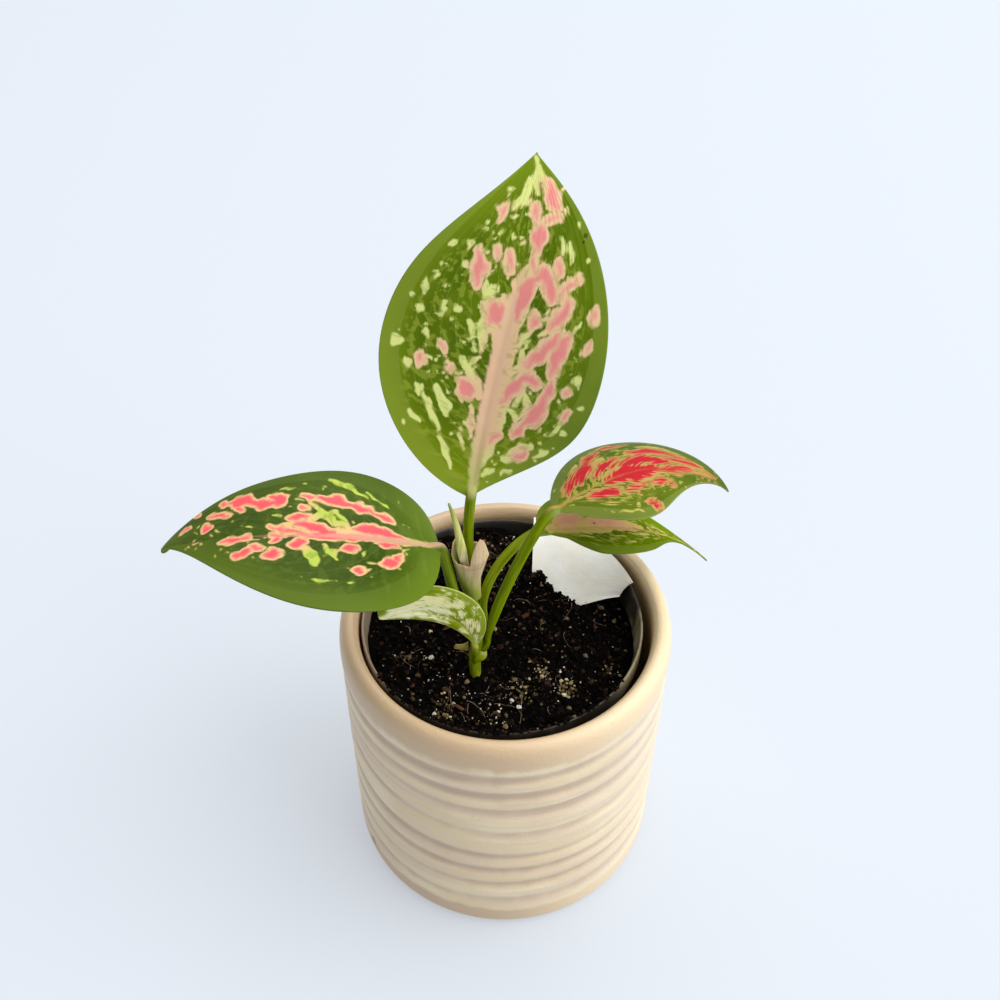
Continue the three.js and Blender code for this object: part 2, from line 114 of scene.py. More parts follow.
def skin(rings):
    """Faces of a closed body through (rows, around, 3) rings: quads between rings, fans at both ends."""
    rows, around = rings.shape[:2]
    row = np.arange(rows - 1)[:, None] * around
    step = np.arange(around)[None, :]
    after = (step + 1) % around
    quads = np.stack([row + step, row + after, row + around + after, row + around + step], -1).reshape(-1, 4)
    points = np.concatenate([rings.reshape(-1, 3), rings[0].mean(0)[None], rings[-1].mean(0)[None]])
    first, last = rows * around, rows * around + 1
    low = np.stack([np.full(around, first), after[0], step[0]], -1)
    last_row = (rows - 1) * around
    high = np.stack([np.full(around, last), step[0] + last_row, after[0] + last_row], -1)
    faces = [quads, low, high]
    if volume(points, quads) < 0:
        faces = [part[:, ::-1] for part in faces]
    return points, faces


def ring_piece(name, rings, shares=None):
    """A closed piece through rings; a share has one value a ring point, and the end points take means."""
    points, faces = skin(rings)
    full = {}
    for key, values in (shares or {}).items():
        ends = [values[0].mean(0, keepdims=True), values[-1].mean(0, keepdims=True)]
        full[key] = np.concatenate([values.reshape((-1,) + values.shape[2:]), *ends])
    return put_mesh(name, points, faces, full)


def grid_faces(rows, columns):
    """Quads of an open grid of points, row by row."""
    row = np.arange(rows - 1)[:, None] * columns
    step = np.arange(columns - 1)[None, :]
    corners = [row + step, row + step + 1, row + columns + step + 1, row + columns + step]
    return np.stack(corners, -1).reshape(-1, 4)


def sheet_piece(name, grid, wall, shares=None):
    """A thin sheet about a grid of points: Solidify gives the wall, and Bevel rounds its rim."""
    rows, columns = grid.shape[:2]
    count = rows * columns
    flat = {key: values.reshape((count,) + values.shape[2:]) for key, values in (shares or {}).items()}
    piece = put_mesh(name, grid.reshape(-1, 3), [grid_faces(rows, columns)], flat)
    solid = piece.modifiers.new("wall", "SOLIDIFY")
    solid.thickness = wall * MM
    solid.offset = 0
    rim = piece.modifiers.new("rim", "BEVEL")
    rim.width = 0.3 * wall * MM
    rim.segments = 2
    rim.limit_method = "ANGLE"
    return piece


def curve_through(line, shares):
    """Points on a smooth curve through a line of points, by the Catmull-Rom formula, at shares 0 to 1."""
    line = np.asarray(line, float)
    padded = np.concatenate([[2 * line[0] - line[1]], line, [2 * line[-1] - line[-2]]])
    at = np.clip(np.asarray(shares, float), 0, 1) * (len(line) - 1)
    k = np.minimum(at.astype(int), len(line) - 2)
    t = (at - k)[:, None]
    a, b, c, d = (padded[k + i] for i in range(4))
    return 0.5 * (2 * b + (c - a) * t + (2 * a - 5 * b + 4 * c - d) * t**2 + (3 * (b - c) + d - a) * t**3)


def tube_rings(centres, radii, around):
    """Rings of those radii about a path, square to it; each starts square to one fixed direction."""
    along = unit(np.gradient(centres, axis=0))
    side = unit(np.cross(along, [0.3, 1.0, 0.2]))
    other = np.cross(along, side)
    angle = np.linspace(0, 2 * np.pi, around, endpoint=False)
    turned = np.cos(angle)[None, :, None] * side[:, None] + np.sin(angle)[None, :, None] * other[:, None]
    radii = np.asarray(radii, float)
    return centres[:, None] + turned * (radii[..., None] if radii.ndim > 1 else radii[:, None, None])


def finish_piece(piece, material, slot, *nodes):
    """Gives a piece its material, lets it ride on the body, and hides the solids it replaces. The slot is not
    used.
    """
    piece.data.materials.append(material)
    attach(piece, "root")
    if nodes:
        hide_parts(*nodes)
    return piece


# %% [markdown]
# Shader maths
#
# A leaf's colour depends on many distances at once. Nodes placed one by one would be hard to read, so a
# small class wraps a socket, and a Python expression on it adds the Math nodes. A second class holds one
# finish: the Principled surface, with plain numbers set on it, and the few colours and bumps that vary.

# %% Values and finishes
def paint(code, alpha=1.0):
    """A colour from its #rrggbb code, as the linear numbers that a shader takes."""
    parts = np.array([int(code[i : i + 2], 16) for i in (1, 3, 5)]) / 255
    linear = np.where(parts <= 0.04045, parts / 12.92, ((parts + 0.055) / 1.055) ** 2.4)
    return (*map(float, linear), alpha)


class Value:
    """A number that varies over a surface. Operators on it add Math nodes."""

    def __init__(self, finish, socket):
        self.finish = finish
        self.socket = socket

    def math(self, operation, *others):
        inputs = dict(enumerate((self, *others)))
        return self.finish.add("ShaderNodeMath", {"operation": operation}, inputs)

    def __add__(self, other):
        return self.math("ADD", other)

    def __mul__(self, other):
        return self.math("MULTIPLY", other)

    def __sub__(self, other):
        return self.math("SUBTRACT", other)

    def __rsub__(self, other):
        return self.math("MULTIPLY", -1.0).math("ADD", other)

    def __abs__(self):
        return self.math("ABSOLUTE")

    __radd__ = __add__
    __rmul__ = __mul__

    def most(self, other):
        return self.math("MAXIMUM", other)

    def wrapped(self):
        return self.math("FRACT")

    def fade(self, low, high):
        """0 at low and 1 at high, smoothly; low may be the larger."""
        settings = {"interpolation_type": "SMOOTHSTEP"}
        if low < high:
            return self.finish.add("ShaderNodeMapRange", settings, {0: self, 1: low, 2: high})
        return 1 - self.finish.add("ShaderNodeMapRange", settings, {0: self, 1: high, 2: low})


class Finish:
    """One material: a Principled surface with its constants on the sockets, and nodes for what varies."""

    def __init__(self, name, **constants):
        self.material = bpy.data.materials.new(name)
        self.material.use_nodes = True
        self.tree = self.material.node_tree
        self.shader = self.tree.nodes["Principled BSDF"]
        for key, value in constants.items():
            self.shader.inputs[key.replace("_", " ")].default_value = value

    def add(self, kind, settings=None, inputs=None, output=0):
        """Adds a node: its settings first, ramp stops too, then the values or links of its sockets."""
        node = self.tree.nodes.new(kind)
        for key, value in (settings or {}).items():
            if key == "stops":
                ready = [*node.color_ramp.elements, *(None,) * len(value)]
                for (position, colour), stop in zip(value, ready):
                    stop = stop or node.color_ramp.elements.new(position)
                    stop.position = position
                    stop.color = colour
            else:
                setattr(node, key, value)
        for key, value in (inputs or {}).items():
            if isinstance(value, Value):
                self.tree.links.new(value.socket, node.inputs[key])
            else:
                node.inputs[key].default_value = value
        return Value(self, node.outputs[output])

    def split(self, vector):
        """The three numbers of a vector."""
        first = self.add("ShaderNodeSeparateXYZ", inputs={0: vector})
        return [Value(self, socket) for socket in first.socket.node.outputs]

    def join(self, x, y, z):
        return self.add("ShaderNodeCombineXYZ", inputs={0: x, 1: y, 2: z})

    def share(self, key):
        """An attribute of the mesh, as a vector."""
        return self.add("ShaderNodeAttribute", {"attribute_name": key}, output="Vector")

    def place(self):
        """Object coordinates in millimetres."""
        coordinates = self.add("ShaderNodeTexCoord", output="Object")
        settings = {"operation": "SCALE"}
        return self.add("ShaderNodeVectorMath", settings, {0: coordinates, "Scale": 1 / MM})

    def stretched(self, vector, x, y, z):
        """A vector with each part multiplied, to stretch a pattern."""
        return self.add("ShaderNodeVectorMath", {"operation": "MULTIPLY"}, {0: vector, 1: (x, y, z)})

    def noise(self, vector, scale, detail=2.0, roughness=0.5, distortion=0.0):
        """Smooth noise of about 0.3 to 0.7 with a mean of a half."""
        inputs = {"Vector": vector, "Scale": scale, "Detail": detail, "Roughness": roughness}
        return self.add("ShaderNodeTexNoise", inputs={**inputs, "Distortion": distortion})

    def cells(self, vector, scale, feature="F1"):
        """Distance to the nearest of scattered points."""
        inputs = {"Vector": vector, "Scale": scale}
        return self.add("ShaderNodeTexVoronoi", {"feature": feature}, inputs)

    def mix(self, share, low, high):
        """A colour between low and high; a colour may be a #rrggbb code."""
        low, high = (paint(one) if isinstance(one, str) else one for one in (low, high))
        return self.add("ShaderNodeMix", {"data_type": "RGBA"}, {0: share, 6: low, 7: high}, output=2)

    def feed(self, key, value):
        self.tree.links.new(value.socket, self.shader.inputs[key])

    def bump(self, height, depth):
        """Feeds Normal with a bump whose height of 1 stands for that depth in mm."""
        inputs = {"Height": height, "Distance": depth * MM, "Strength": 1.0}
        self.feed("Normal", self.add("ShaderNodeBump", inputs=inputs))


# %% [markdown]
# Camera, light and floor
#
# The picture looks down at the pot by about 43 degrees from a third of a metre, so the pot's sides lean in
# towards its foot. A short distance with a lens of 41 mm gives that; a longer lens would make the sides
# upright. The light is one very large soft panel on the right, a weaker one overhead and a faint one at the
# back, with a pale sky for fill. The floor glows a little by itself, so that the pot's shadow on it stays
# as faint as it is in a bright white room.

# %% The camera
CAMERA = {"place": (-1.9, -226.8, 357.6), "down": 43.42, "roll": 0.42, "lens": 41.4, "sensor": 36.0}

view_data = bpy.data.cameras.new("camera")
view_data.lens = CAMERA["lens"]
view_data.sensor_width = CAMERA["sensor"]
view_data.clip_start = 0.01
camera = bpy.data.objects.new("camera", view_data)
tilt = Matrix.Rotation(np.radians(90 - CAMERA["down"]), 4, "X")
roll = Matrix.Rotation(np.radians(CAMERA["roll"]), 4, "Z")
camera.matrix_world = Matrix.Translation(Vector(CAMERA["place"]) * MM) @ tilt @ roll
bpy.context.scene.collection.objects.link(camera)
bpy.context.scene.camera = camera
bpy.context.scene.view_settings.view_transform = "Standard"

# %% The floor and the lights
FLOOR_SIDE = 12.0  # metres
SKY = {"colour": "#f6f3f2", "strength": 0.45}
PANELS = {
    # towards it: degrees round from +X and up, distance and side in metres, power in watts
    "key_panel": {"round": -16, "up": 36, "away": 4.0, "side": 4.4, "power": 150.0},
    "top_panel": {"round": 30, "up": 70, "away": 3.0, "side": 3.4, "power": 72.0},
    "back_panel": {"round": 118, "up": 45, "away": 3.0, "side": 2.4, "power": 14.0},
}

floor_half = FLOOR_SIDE / 2 / MM
floor_points = np.array([[-1, -1, 0], [1, -1, 0], [1, 1, 0], [-1, 1, 0]]) * floor_half
floor = put_mesh("floor", floor_points, [np.array([[0, 1, 2, 3]])], smooth=False)
paper = Finish("floor_paper", Roughness=0.9, Specular_IOR_Level=0.0, Emission_Strength=0.43)
paper.shader.inputs["Base Color"].default_value = paint("#999fa6")
paper.shader.inputs["Emission Color"].default_value = paint("#f0f6ff")
floor.data.materials.append(paper.material)

world = bpy.data.worlds.new("sky")
world.use_nodes = True
world.node_tree.nodes["Background"].inputs["Color"].default_value = paint(SKY["colour"])
world.node_tree.nodes["Background"].inputs["Strength"].default_value = SKY["strength"]
bpy.context.scene.world = world

for name, panel in PANELS.items():
    light = bpy.data.lights.new(name, "AREA")
    light.size = panel["side"]
    light.energy = panel["power"]
    lamp = bpy.data.objects.new(name, light)
    turn, up = np.radians(panel["round"]), np.radians(panel["up"])
    away = Vector((np.cos(up) * np.cos(turn), np.cos(up) * np.sin(turn), np.sin(up)))
    lamp.location = away * panel["away"]
    lamp.rotation_euler = away.to_track_quat("Z", "Y").to_euler()
    bpy.context.scene.collection.objects.link(lamp)
print(len(PANELS), "light panels over the floor")

# %% [markdown]
# The ceramic pot
#
# A pot thrown on a wheel keeps the marks of the fingers: soft ridges that climb and fall round the wall,
# deeper on one side than on another. A lathe gives a perfect wall, so here the turned profile is bent by
# the same sums of sines that the solid has, on a grid fine enough for each groove to be round.

# %% The pot's turned wall
POT = {"radius": 50.0, "height": 97.0, "mouth": 44.0, "inside": 43.2, "floor": 6.0, "around": 204}
GROOVES = [15, 24, 33, 42, 55.6, 67, 75, 83]
GROOVE = {"depth": 0.9, "width": 2.5, "drift": 1.1, "calm_below": 8, "calm_above": 92}
PIT = {"round": 209, "height": 8.0, "radius": 1.5, "depth": 0.5}


def groove_share(z):
    """1 in a groove's middle, falling with the square of the distance as a bell curve."""
    heights = np.asarray(GROOVES, float)
    return np.minimum(1, np.exp(-(((z[..., None] - heights) / GROOVE["width"]) ** 2)).max(-1))


def smooth_profile(corners, step):
    """Points every step mm along lines through [radius, height] corners, with the corners rounded."""
    corners = np.asarray(corners, float)
    lengths = np.linalg.norm(np.diff(corners, axis=0), axis=1)
    travelled = np.concatenate([[0], np.cumsum(lengths)])
    at = np.linspace(0, travelled[-1], int(travelled[-1] / step))
    line = np.stack([np.interp(at, travelled, corners[:, k]) for k in (0, 1)], -1)
    for _ in range(6):
        line[1:-1] = 0.25 * line[:-2] + 0.5 * line[1:-1] + 0.25 * line[2:]
    return line


radius, height, mouth, inside = POT["radius"], POT["height"], POT["mouth"], POT["inside"]
pot_profile = smooth_profile(
    [
        [0.4, 0],
        [radius - 4, 0],
        [radius - 1.4, 0.8],
        [radius - 0.2, 3.2],
        [radius, 8],
        [radius, 91],
        [radius - 0.4, height - 2.6],
        [radius - 1.6, height - 0.7],
        [radius - 3.2, height],
        [radius - 4.7, height - 0.5],
        [mouth + 0.3, height - 1.8],
        [mouth, height - 4],
        [inside, POT["floor"] + 4],
        [inside - 3, POT["floor"]],
        [0.4, POT["floor"]],
    ],
    0.6,
)
angle = np.linspace(0, 2 * np.pi, POT["around"], endpoint=False)[None, :]
wall_r, wall_z = (np.repeat(pot_profile[:, k : k + 1], POT["around"], 1) for k in (0, 1))
outer = smooth_step(wall_r, radius - 3.2, radius - 2.6)
calm = smooth_step(wall_z, GROOVE["calm_below"], 20) * (1 - smooth_step(wall_z, 82, GROOVE["calm_above"]))
wander = np.sin(angle + 1.3 + wall_z / 14) + 0.5 * np.sin(2 * angle + 0.4 - wall_z / 9)
strength = 0.8 + 0.2 * np.sin(2 * angle + wall_z / 7)
cut = groove_share(wall_z) * outer
finger = 0.07 * np.sin(wall_z * 2 * np.pi / 2.9 + 0.8 * np.sin(angle + wall_z / 11)) * calm * outer
pit_far = np.hypot((angle - np.radians(PIT["round"])) * radius, wall_z - PIT["height"]) / PIT["radius"]
pit = np.exp(-(pit_far**2)) * outer
new_r = wall_r - GROOVE["depth"] * strength * cut - finger - PIT["depth"] * pit
new_z = wall_z + GROOVE["drift"] * calm * wander * outer
pot_rings = np.stack([new_r * np.cos(angle), new_r * np.sin(angle), new_z], -1)
pot_shares = {"turned": np.stack([cut * strength, wall_z + 0 * angle, outer + pit * 2], -1)}
glazed_pot = ring_piece("glazed_pot", pot_rings, pot_shares)
print("pot rim height", round(float(pot_rings[..., 2].max()), 2), "mm")

# %% [markdown]
# The glaze
#
# The glaze is a warm cream that breaks darker, to a grey taupe, where it pools in the grooves, and shows
# yellower on the ridge tops. The smooth lip and foot are more peach. The colour follows an attribute that
# holds how deep the wall is cut, with a slow noise over it and fine iron specks. It is a satin glaze: a
# clear coat over a rougher body gives the soft highlight.

# %% The glaze's finish
LIP_CREASE = 45.3  # mm from the axis, a faint line inside the lip
glaze = Finish("cream_glaze", Roughness=0.5, Coat_Weight=0.25, Coat_Roughness=0.35, Specular_IOR_Level=0.4)
deep, level, wall = glaze.split(glaze.share("turned"))
mm_place = glaze.place()
cloud = glaze.noise(glaze.stretched(mm_place, 1, 1, 2.2), 0.035, 3.0)
drips = glaze.noise(glaze.stretched(mm_place, 1, 1, 0.25), 0.16, 2.0)
bands = glaze.noise(glaze.stretched(mm_place, 0.25, 0.25, 2.4), 0.1, 2.0)
pooled = (deep + (cloud - 0.5) * 0.8 + (drips - 0.5) * 0.5).fade(0.25, 1.05)
body_colour_and_painted_light = glaze.mix(cloud.fade(0.38, 0.66), "#dfcaa4", "#e9d8b4")
body_colour_and_painted_light = glaze.mix(bands.fade(0.46, 0.62) * 0.7, body_colour_and_painted_light, "#d9c3ac")
body_colour_and_painted_light = glaze.mix(pooled * 0.8, body_colour_and_painted_light, "#b9a08a")
x, y, _ = glaze.split(mm_place)
# The wall is painted paler towards the right: painted light from the right side.
body_colour_and_painted_light = glaze.mix(x.fade(16.0, 46.0) * 0.35, body_colour_and_painted_light, "#ebe2cb")
lip = (level + (drips - 0.5) * 5).fade(86.0, 89.5)
foot = (level + (drips - 0.5) * 3).fade(11.0, 8.5)
smooth_part = lip.most(foot)
# The lip and foot are peach, painted darker on the left and paler on the right: painted shade and painted
# light.
lip_peach_and_painted_light = glaze.mix(x.fade(-10.0, 46.0) * 0.8, "#c9ae8b", "#f0d9b2")
tone = glaze.mix(smooth_part, body_colour_and_painted_light, lip_peach_and_painted_light)
from_axis = (x * x + y * y).math("SQRT") + (drips - 0.5) * 0.9
crease = abs(from_axis - LIP_CREASE).fade(0.45, 0.1) * level.fade(94.0, 95.5)
tone = glaze.mix(crease * 0.3, tone, "#a88b68")
tone = glaze.mix((1 - wall.fade(0.2, 0.8)) * level.fade(96.0, 93.0), tone, "#d9b88c")
specks = glaze.cells(mm_place, 0.42).fade(0.085, 0.05) * glaze.noise(mm_place, 0.21, 1.0).fade(0.56, 0.62)
tone = glaze.mix(specks * 0.6, tone, "#8a7358")
tone = glaze.mix(wall.fade(1.3, 2.4), tone, "#7d6b52")
glaze.feed("Base Color", tone)
glaze.feed("Roughness", 0.42 + pooled * 0.14 + (cloud - 0.5) * 0.2)
wide_pores = glaze.noise(glaze.stretched(mm_place, 0.4, 0.4, 4), 0.7, 2.0)
orange_peel = glaze.noise(mm_place, 0.9, 2.0) + wide_pores * 0.7
glaze.bump(orange_peel, 0.12)
finish_piece(glazed_pot, glaze.material, "glaze", "ceramic_pot")

# %% [markdown]
# The grower pot
#
# The plant still stands in the thin black pot that it was grown in. Only its rim and the inner wall above
# the soil show, but it is whole, with a stepped collar and four drainage holes, since the pot may be seen
# from anywhere. It is a lathe again; the holes are cut with a Boolean, whose cutters are then removed.

# %% The grower pot's wall
NURSERY = {"x": -1.0, "rim": 42.3, "collar": 9.0, "top": 95.0, "base": 31.0, "wall": 0.9, "sheet": 1.0}
NURSERY_FOOT = 6.3
DRAIN = {"holes": 4, "radius": 3.5, "away": 20.0}


def nursery_outside(z):
    """Radius of the tapered wall: straight from the base to the rim."""
    share = (np.asarray(z, float) - NURSERY_FOOT) / (NURSERY["top"] - NURSERY_FOOT)
    return lerp(NURSERY["base"], NURSERY["rim"], share)


def nursery_inside(z):
    """Radius inside the wall."""
    return nursery_outside(z) - NURSERY["wall"]


step_z = NURSERY["top"] - NURSERY["collar"]
rim = NURSERY["rim"]
grower_profile = smooth_profile(
    [
        [0.4, NURSERY_FOOT],
        [NURSERY["base"], NURSERY_FOOT],
        [float(nursery_outside(step_z)), step_z],
        [rim, step_z + 0.6],
        [rim, NURSERY["top"] - 0.3],
        [rim - 0.3, NURSERY["top"]],
        [rim - NURSERY["wall"] + 0.2, NURSERY["top"]],
        [rim - NURSERY["wall"], NURSERY["top"] - 0.4],
        [float(nursery_inside(NURSERY_FOOT + 1)), NURSERY_FOOT + NURSERY["sheet"]],
        [0.4, NURSERY_FOOT + NURSERY["sheet"]],
    ],
    0.6,
)
GROWER_AROUND = 180
grower_angle = np.linspace(0, 2 * np.pi, GROWER_AROUND, endpoint=False)[None, :]
grower_rings = np.stack(
    [
        grower_profile[:, :1] * np.cos(grower_angle) + NURSERY["x"],
        grower_profile[:, :1] * np.sin(grower_angle),
        np.repeat(grower_profile[:, 1:], GROWER_AROUND, 1),
    ],
    -1,
)
grower_pot = ring_piece("grower_pot", grower_rings)
cutters = []
for i in range(DRAIN["holes"]):
    turn = 2 * np.pi * (i + 0.5) / DRAIN["holes"]
    centre = np.array([DRAIN["away"] * np.cos(turn) + NURSERY["x"], DRAIN["away"] * np.sin(turn), 0])
    line = centre + np.array([[0, 0, NURSERY_FOOT - 2], [0, 0, NURSERY_FOOT + 3]])
    cutter = ring_piece(f"drain_cutter_{i + 1}", tube_rings(line, [DRAIN["radius"]] * 2, 40))
    hole = grower_pot.modifiers.new(f"hole_{i + 1}", "BOOLEAN")
    hole.object = cutter
    hole.solver = "EXACT"
    cutters.append(cutter)
drilled = bpy.data.meshes.new_from_object(grower_pot.evaluated_get(bpy.context.evaluated_depsgraph_get()))
grower_pot.modifiers.clear()
grower_pot.data = drilled
for cutter in cutters:
    bpy.data.objects.remove(cutter, do_unlink=True)
print("grower pot with its holes:", len(drilled.polygons), "faces")

# %% The black plastic
plastic = Finish("grower_plastic", Roughness=0.4, Specular_IOR_Level=0.5)
mm_place = plastic.place()
x, y, z = plastic.split(mm_place)
dusty = plastic.noise(plastic.stretched(mm_place, 1, 1, 0.5), 0.12, 4.0, 0.6)
dirt = (dusty + z.fade(84.0, 95.0) * -0.12).fade(0.44, 0.6)
tone = plastic.mix(dirt, "#33312e", "#6a6050")
# The inner wall on the left, which faces the light, is painted paler: painted light.
tone = plastic.mix(x.fade(-30.0, -38.0) * 0.8, tone, "#a08c78")
stained = x.fade(28.0, 37.0) * y.fade(12.0, 0.0) * dusty.fade(0.38, 0.56)
tone = plastic.mix(stained * 0.85, tone, "#94896a")
tone = plastic.mix(y.fade(-26.0, -36.0) * 0.85, tone, "#150e0a")
plastic.feed("Base Color", tone)
plastic.feed("Roughness", 0.34 + dirt * 0.3)
plastic.bump(plastic.noise(mm_place, 1.4, 2.0), 0.05)
finish_piece(grower_pot, plastic.material, "nursery_plastic", "nursery_pot")

# %% [markdown]
# The soil
#
# Potting soil is dark peat in crumbs, with white perlite and bits of bark. One displaced surface gives the
# bed, lower at the right, banked up at the back left and lumpy at three scales. The crumbs, perlite and
# bark that lie on it are thousands of small bodies of twenty faces each, joined into one mesh a kind,
# because a bump alone would look flat from the side.

# %% The bed
SOIL = {"level": 88.6, "lump": 0.75, "dip": 3.0, "dip_from": 12, "dip_to": 38, "foot": 7.6, "gap": 0.3}
BANK = {"height": 3.8, "from": 12, "to": 32, "full_to": -2, "none_from": 8}
CLUMP = {"x": 10.0, "y": 20.5, "height": 2.6, "spread": 3.2}


def soil_height(x, y):
    """The level, less the dip on the right, plus the bank at the back left, the lumps and the clump.

    The lumps are two products of bent sine waves.
    """
    dip = SOIL["dip"] * smooth_step(x, SOIL["dip_from"], SOIL["dip_to"])
    bank = BANK["height"] * smooth_step(y, BANK["from"], BANK["to"])
    bank = bank * (1 - smooth_step(x, BANK["full_to"], BANK["none_from"]))
    broad = np.sin(0.31 * x + 1.2 * np.sin(0.17 * y)) * np.sin(0.27 * y + 0.8 * np.sin(0.21 * x))
    fine = np.sin(0.83 * x + 2 + np.sin(0.5 * y)) * np.sin(0.77 * y + 1 + np.sin(0.6 * x))
    away = np.hypot(x - CLUMP["x"], y - CLUMP["y"]) / CLUMP["spread"]
    lumps = SOIL["lump"] * (broad + 0.8 * fine)
    return SOIL["level"] - dip + bank + lumps + CLUMP["height"] * np.exp(-(away**2))


CRUMB_WAVES = [(0.42, 3.1, 11), (0.34, 1.5, 12), (0.2, 0.8, 13)]  # height and length in mm, and seed


def soil_top(x, y):
    """The soil's height with crumbs of three sizes over it, calm by the wall."""
    flat = np.stack([x, y], -1)
    crumbs = sum(tall * waves(flat, length, seed) for tall, length, seed in CRUMB_WAVES)
    return soil_height(x, y) + crumbs * (1 - smooth_step(np.hypot(x - NURSERY["x"], y), 38, 40.3))


SOIL_AROUND = 230
soil_edge = float(nursery_inside(SOIL["level"])) - SOIL["gap"]
soil_foot = float(nursery_inside(SOIL["foot"])) - SOIL["gap"]
ring_r = np.concatenate([[0.5], np.linspace(6, soil_foot, 5), np.linspace(soil_foot, soil_edge, 14)[1:]])
ring_z = np.concatenate([[SOIL["foot"]] * 6, np.linspace(SOIL["foot"], SOIL["level"], 14)[1:]])
top_r = np.linspace(soil_edge - 0.15, 0.3, 112)
all_r = np.concatenate([ring_r, top_r])[:, None]
turn = np.linspace(0, 2 * np.pi, SOIL_AROUND, endpoint=False)[None, :]
soil_x = all_r * np.cos(turn) + NURSERY["x"]
soil_y = all_r * np.sin(turn)
side_z = np.repeat(ring_z[:, None], SOIL_AROUND, 1)
side_z[-1] = soil_height(soil_x[len(ring_z) - 1], soil_y[len(ring_z) - 1]) - 0.1
top_z = soil_top(soil_x[len(ring_z) :], soil_y[len(ring_z) :])
soil_z = np.concatenate([side_z, top_z])
wanted = (nursery_inside(soil_z) - SOIL["gap"]) / np.hypot(soil_x - NURSERY["x"], soil_y)
wanted = np.where(np.arange(len(all_r))[:, None] > 5, np.minimum(wanted, 1), 1)
soil_x = (soil_x - NURSERY["x"]) * wanted + NURSERY["x"]
soil_bed = ring_piece("soil_bed", np.stack([soil_x, soil_y * wanted, soil_z], -1))
print("soil from", round(float(top_z.min()), 1), "to", round(float(top_z.max()), 1), "mm")

# %% Crumbs, perlite and bark
GOLDEN = (1 + 5**0.5) / 2
ICOSAHEDRON = np.array(
    [
        [-1, GOLDEN, 0], [1, GOLDEN, 0], [-1, -GOLDEN, 0], [1, -GOLDEN, 0],
        [0, -1, GOLDEN], [0, 1, GOLDEN], [0, -1, -GOLDEN], [0, 1, -GOLDEN],
        [GOLDEN, 0, -1], [GOLDEN, 0, 1], [-GOLDEN, 0, -1], [-GOLDEN, 0, 1],
    ]
) / np.hypot(1, GOLDEN)
ICOSAHEDRON_FACES = np.array(
    [
        [0, 11, 5], [0, 5, 1], [0, 1, 7], [0, 7, 10], [0, 10, 11],
        [1, 5, 9], [5, 11, 4], [11, 10, 2], [10, 7, 6], [7, 1, 8],
        [3, 9, 4], [3, 4, 2], [3, 2, 6], [3, 6, 8], [3, 8, 9],
        [4, 9, 5], [2, 4, 11], [6, 2, 10], [8, 6, 7], [9, 8, 1],
    ]
)
STEM_FOOT = np.array([-8.7, -16.6])


def scatter(count, seed, reach=39.6, heaps=()):
    """Random places on the soil inside that reach; heaps are added (x, y, spread, count) clusters."""
    random = np.random.default_rng(seed)
    away = reach * np.sqrt(random.uniform(0, 1, count))
    turn = random.uniform(0, 2 * np.pi, count)
    places = [np.stack([away * np.cos(turn) + NURSERY["x"], away * np.sin(turn)], -1)]
    for x, y, spread, number in heaps:
        places.append(random.normal([x, y], spread, (number, 2)))
    places = np.concatenate(places)
    inside_wall = np.hypot(places[:, 0] - NURSERY["x"], places[:, 1]) < reach
    return places[inside_wall & (np.hypot(*(places - STEM_FOOT).T) > 2.6)]


def grains(name, places, sizes, flatness, length, sunk, seed, ground=None):
    """Jittered icosahedra at places, turned at random, sunk by a share of their size; each keeps one tone.

    They lie on the soil, or at the height that ground gives.
    """
    random = np.random.default_rng(seed)
    count = len(places)
    body = ICOSAHEDRON[None] * random.uniform(0.72, 1.2, (count, 12, 1))
    body = body * np.stack([sizes * length, sizes, sizes * flatness], -1)[:, None, :]
    lean = random.uniform(-0.5, 0.5, count)
    turn = random.uniform(0, 2 * np.pi, count)
    cos, sin = np.cos(lean)[:, None], np.sin(lean)[:, None]
    x, y, z = body[..., 0], body[..., 1] * cos - body[..., 2] * sin, body[..., 1] * sin + body[..., 2] * cos
    cos, sin = np.cos(turn)[:, None], np.sin(turn)[:, None]
    height = (soil_top(places[:, 0], places[:, 1]) if ground is None else ground) + sizes * (0.5 - sunk)
    across, ahead = x * cos - y * sin, x * sin + y * cos
    points = np.stack([across + places[:, :1], ahead + places[:, 1:], z + height[:, None]], -1)
    faces = (ICOSAHEDRON_FACES[None] + 12 * np.arange(count)[:, None, None]).reshape(-1, 3)
    tone = np.repeat(random.uniform(0, 1, count), 12)
    return put_mesh(name, points.reshape(-1, 3), [faces], {"tone": tone}, False)


random = np.random.default_rng(31)
crumb_places = scatter(4600, 32)
crumb_sizes = random.lognormal(-0.95, 0.45, len(crumb_places)).clip(0.16, 1.3)
soil_crumbs = grains("soil_crumbs", crumb_places, crumb_sizes, 0.75, 1.15, 0.3, 33)
RIM_DIRT = {"count": 190, "from": 212, "to": 326, "inner": -1.2, "outer": 0.1}
rim_turn = np.radians(random.uniform(RIM_DIRT["from"], RIM_DIRT["to"], RIM_DIRT["count"]))
rim_away = NURSERY["rim"] + random.uniform(RIM_DIRT["inner"], RIM_DIRT["outer"], RIM_DIRT["count"])
rim_places = np.stack([rim_away * np.cos(rim_turn) + NURSERY["x"], rim_away * np.sin(rim_turn)], -1)
rim_sizes = random.lognormal(-1.0, 0.4, len(rim_places)).clip(0.16, 0.75)
rim_crumbs = grains("rim_crumbs", rim_places, rim_sizes, 0.75, 1.15, 0.3, 43, NURSERY["top"])
PERLITE = np.array(
    [[18, -24, 1.6], [-20, -31, 1.3], [4, -29, 1.1], [24, -9, 1.2], [-22, -12, 1.2], [-2, 22, 1.4]]
)
PERLITE_HEAPS = [(2.6, -21, 3, 26), (14, -19, 3, 24), (-6, -30, 6, 50), (-22, -18, 5, 44), (20, -20, 4, 20)]
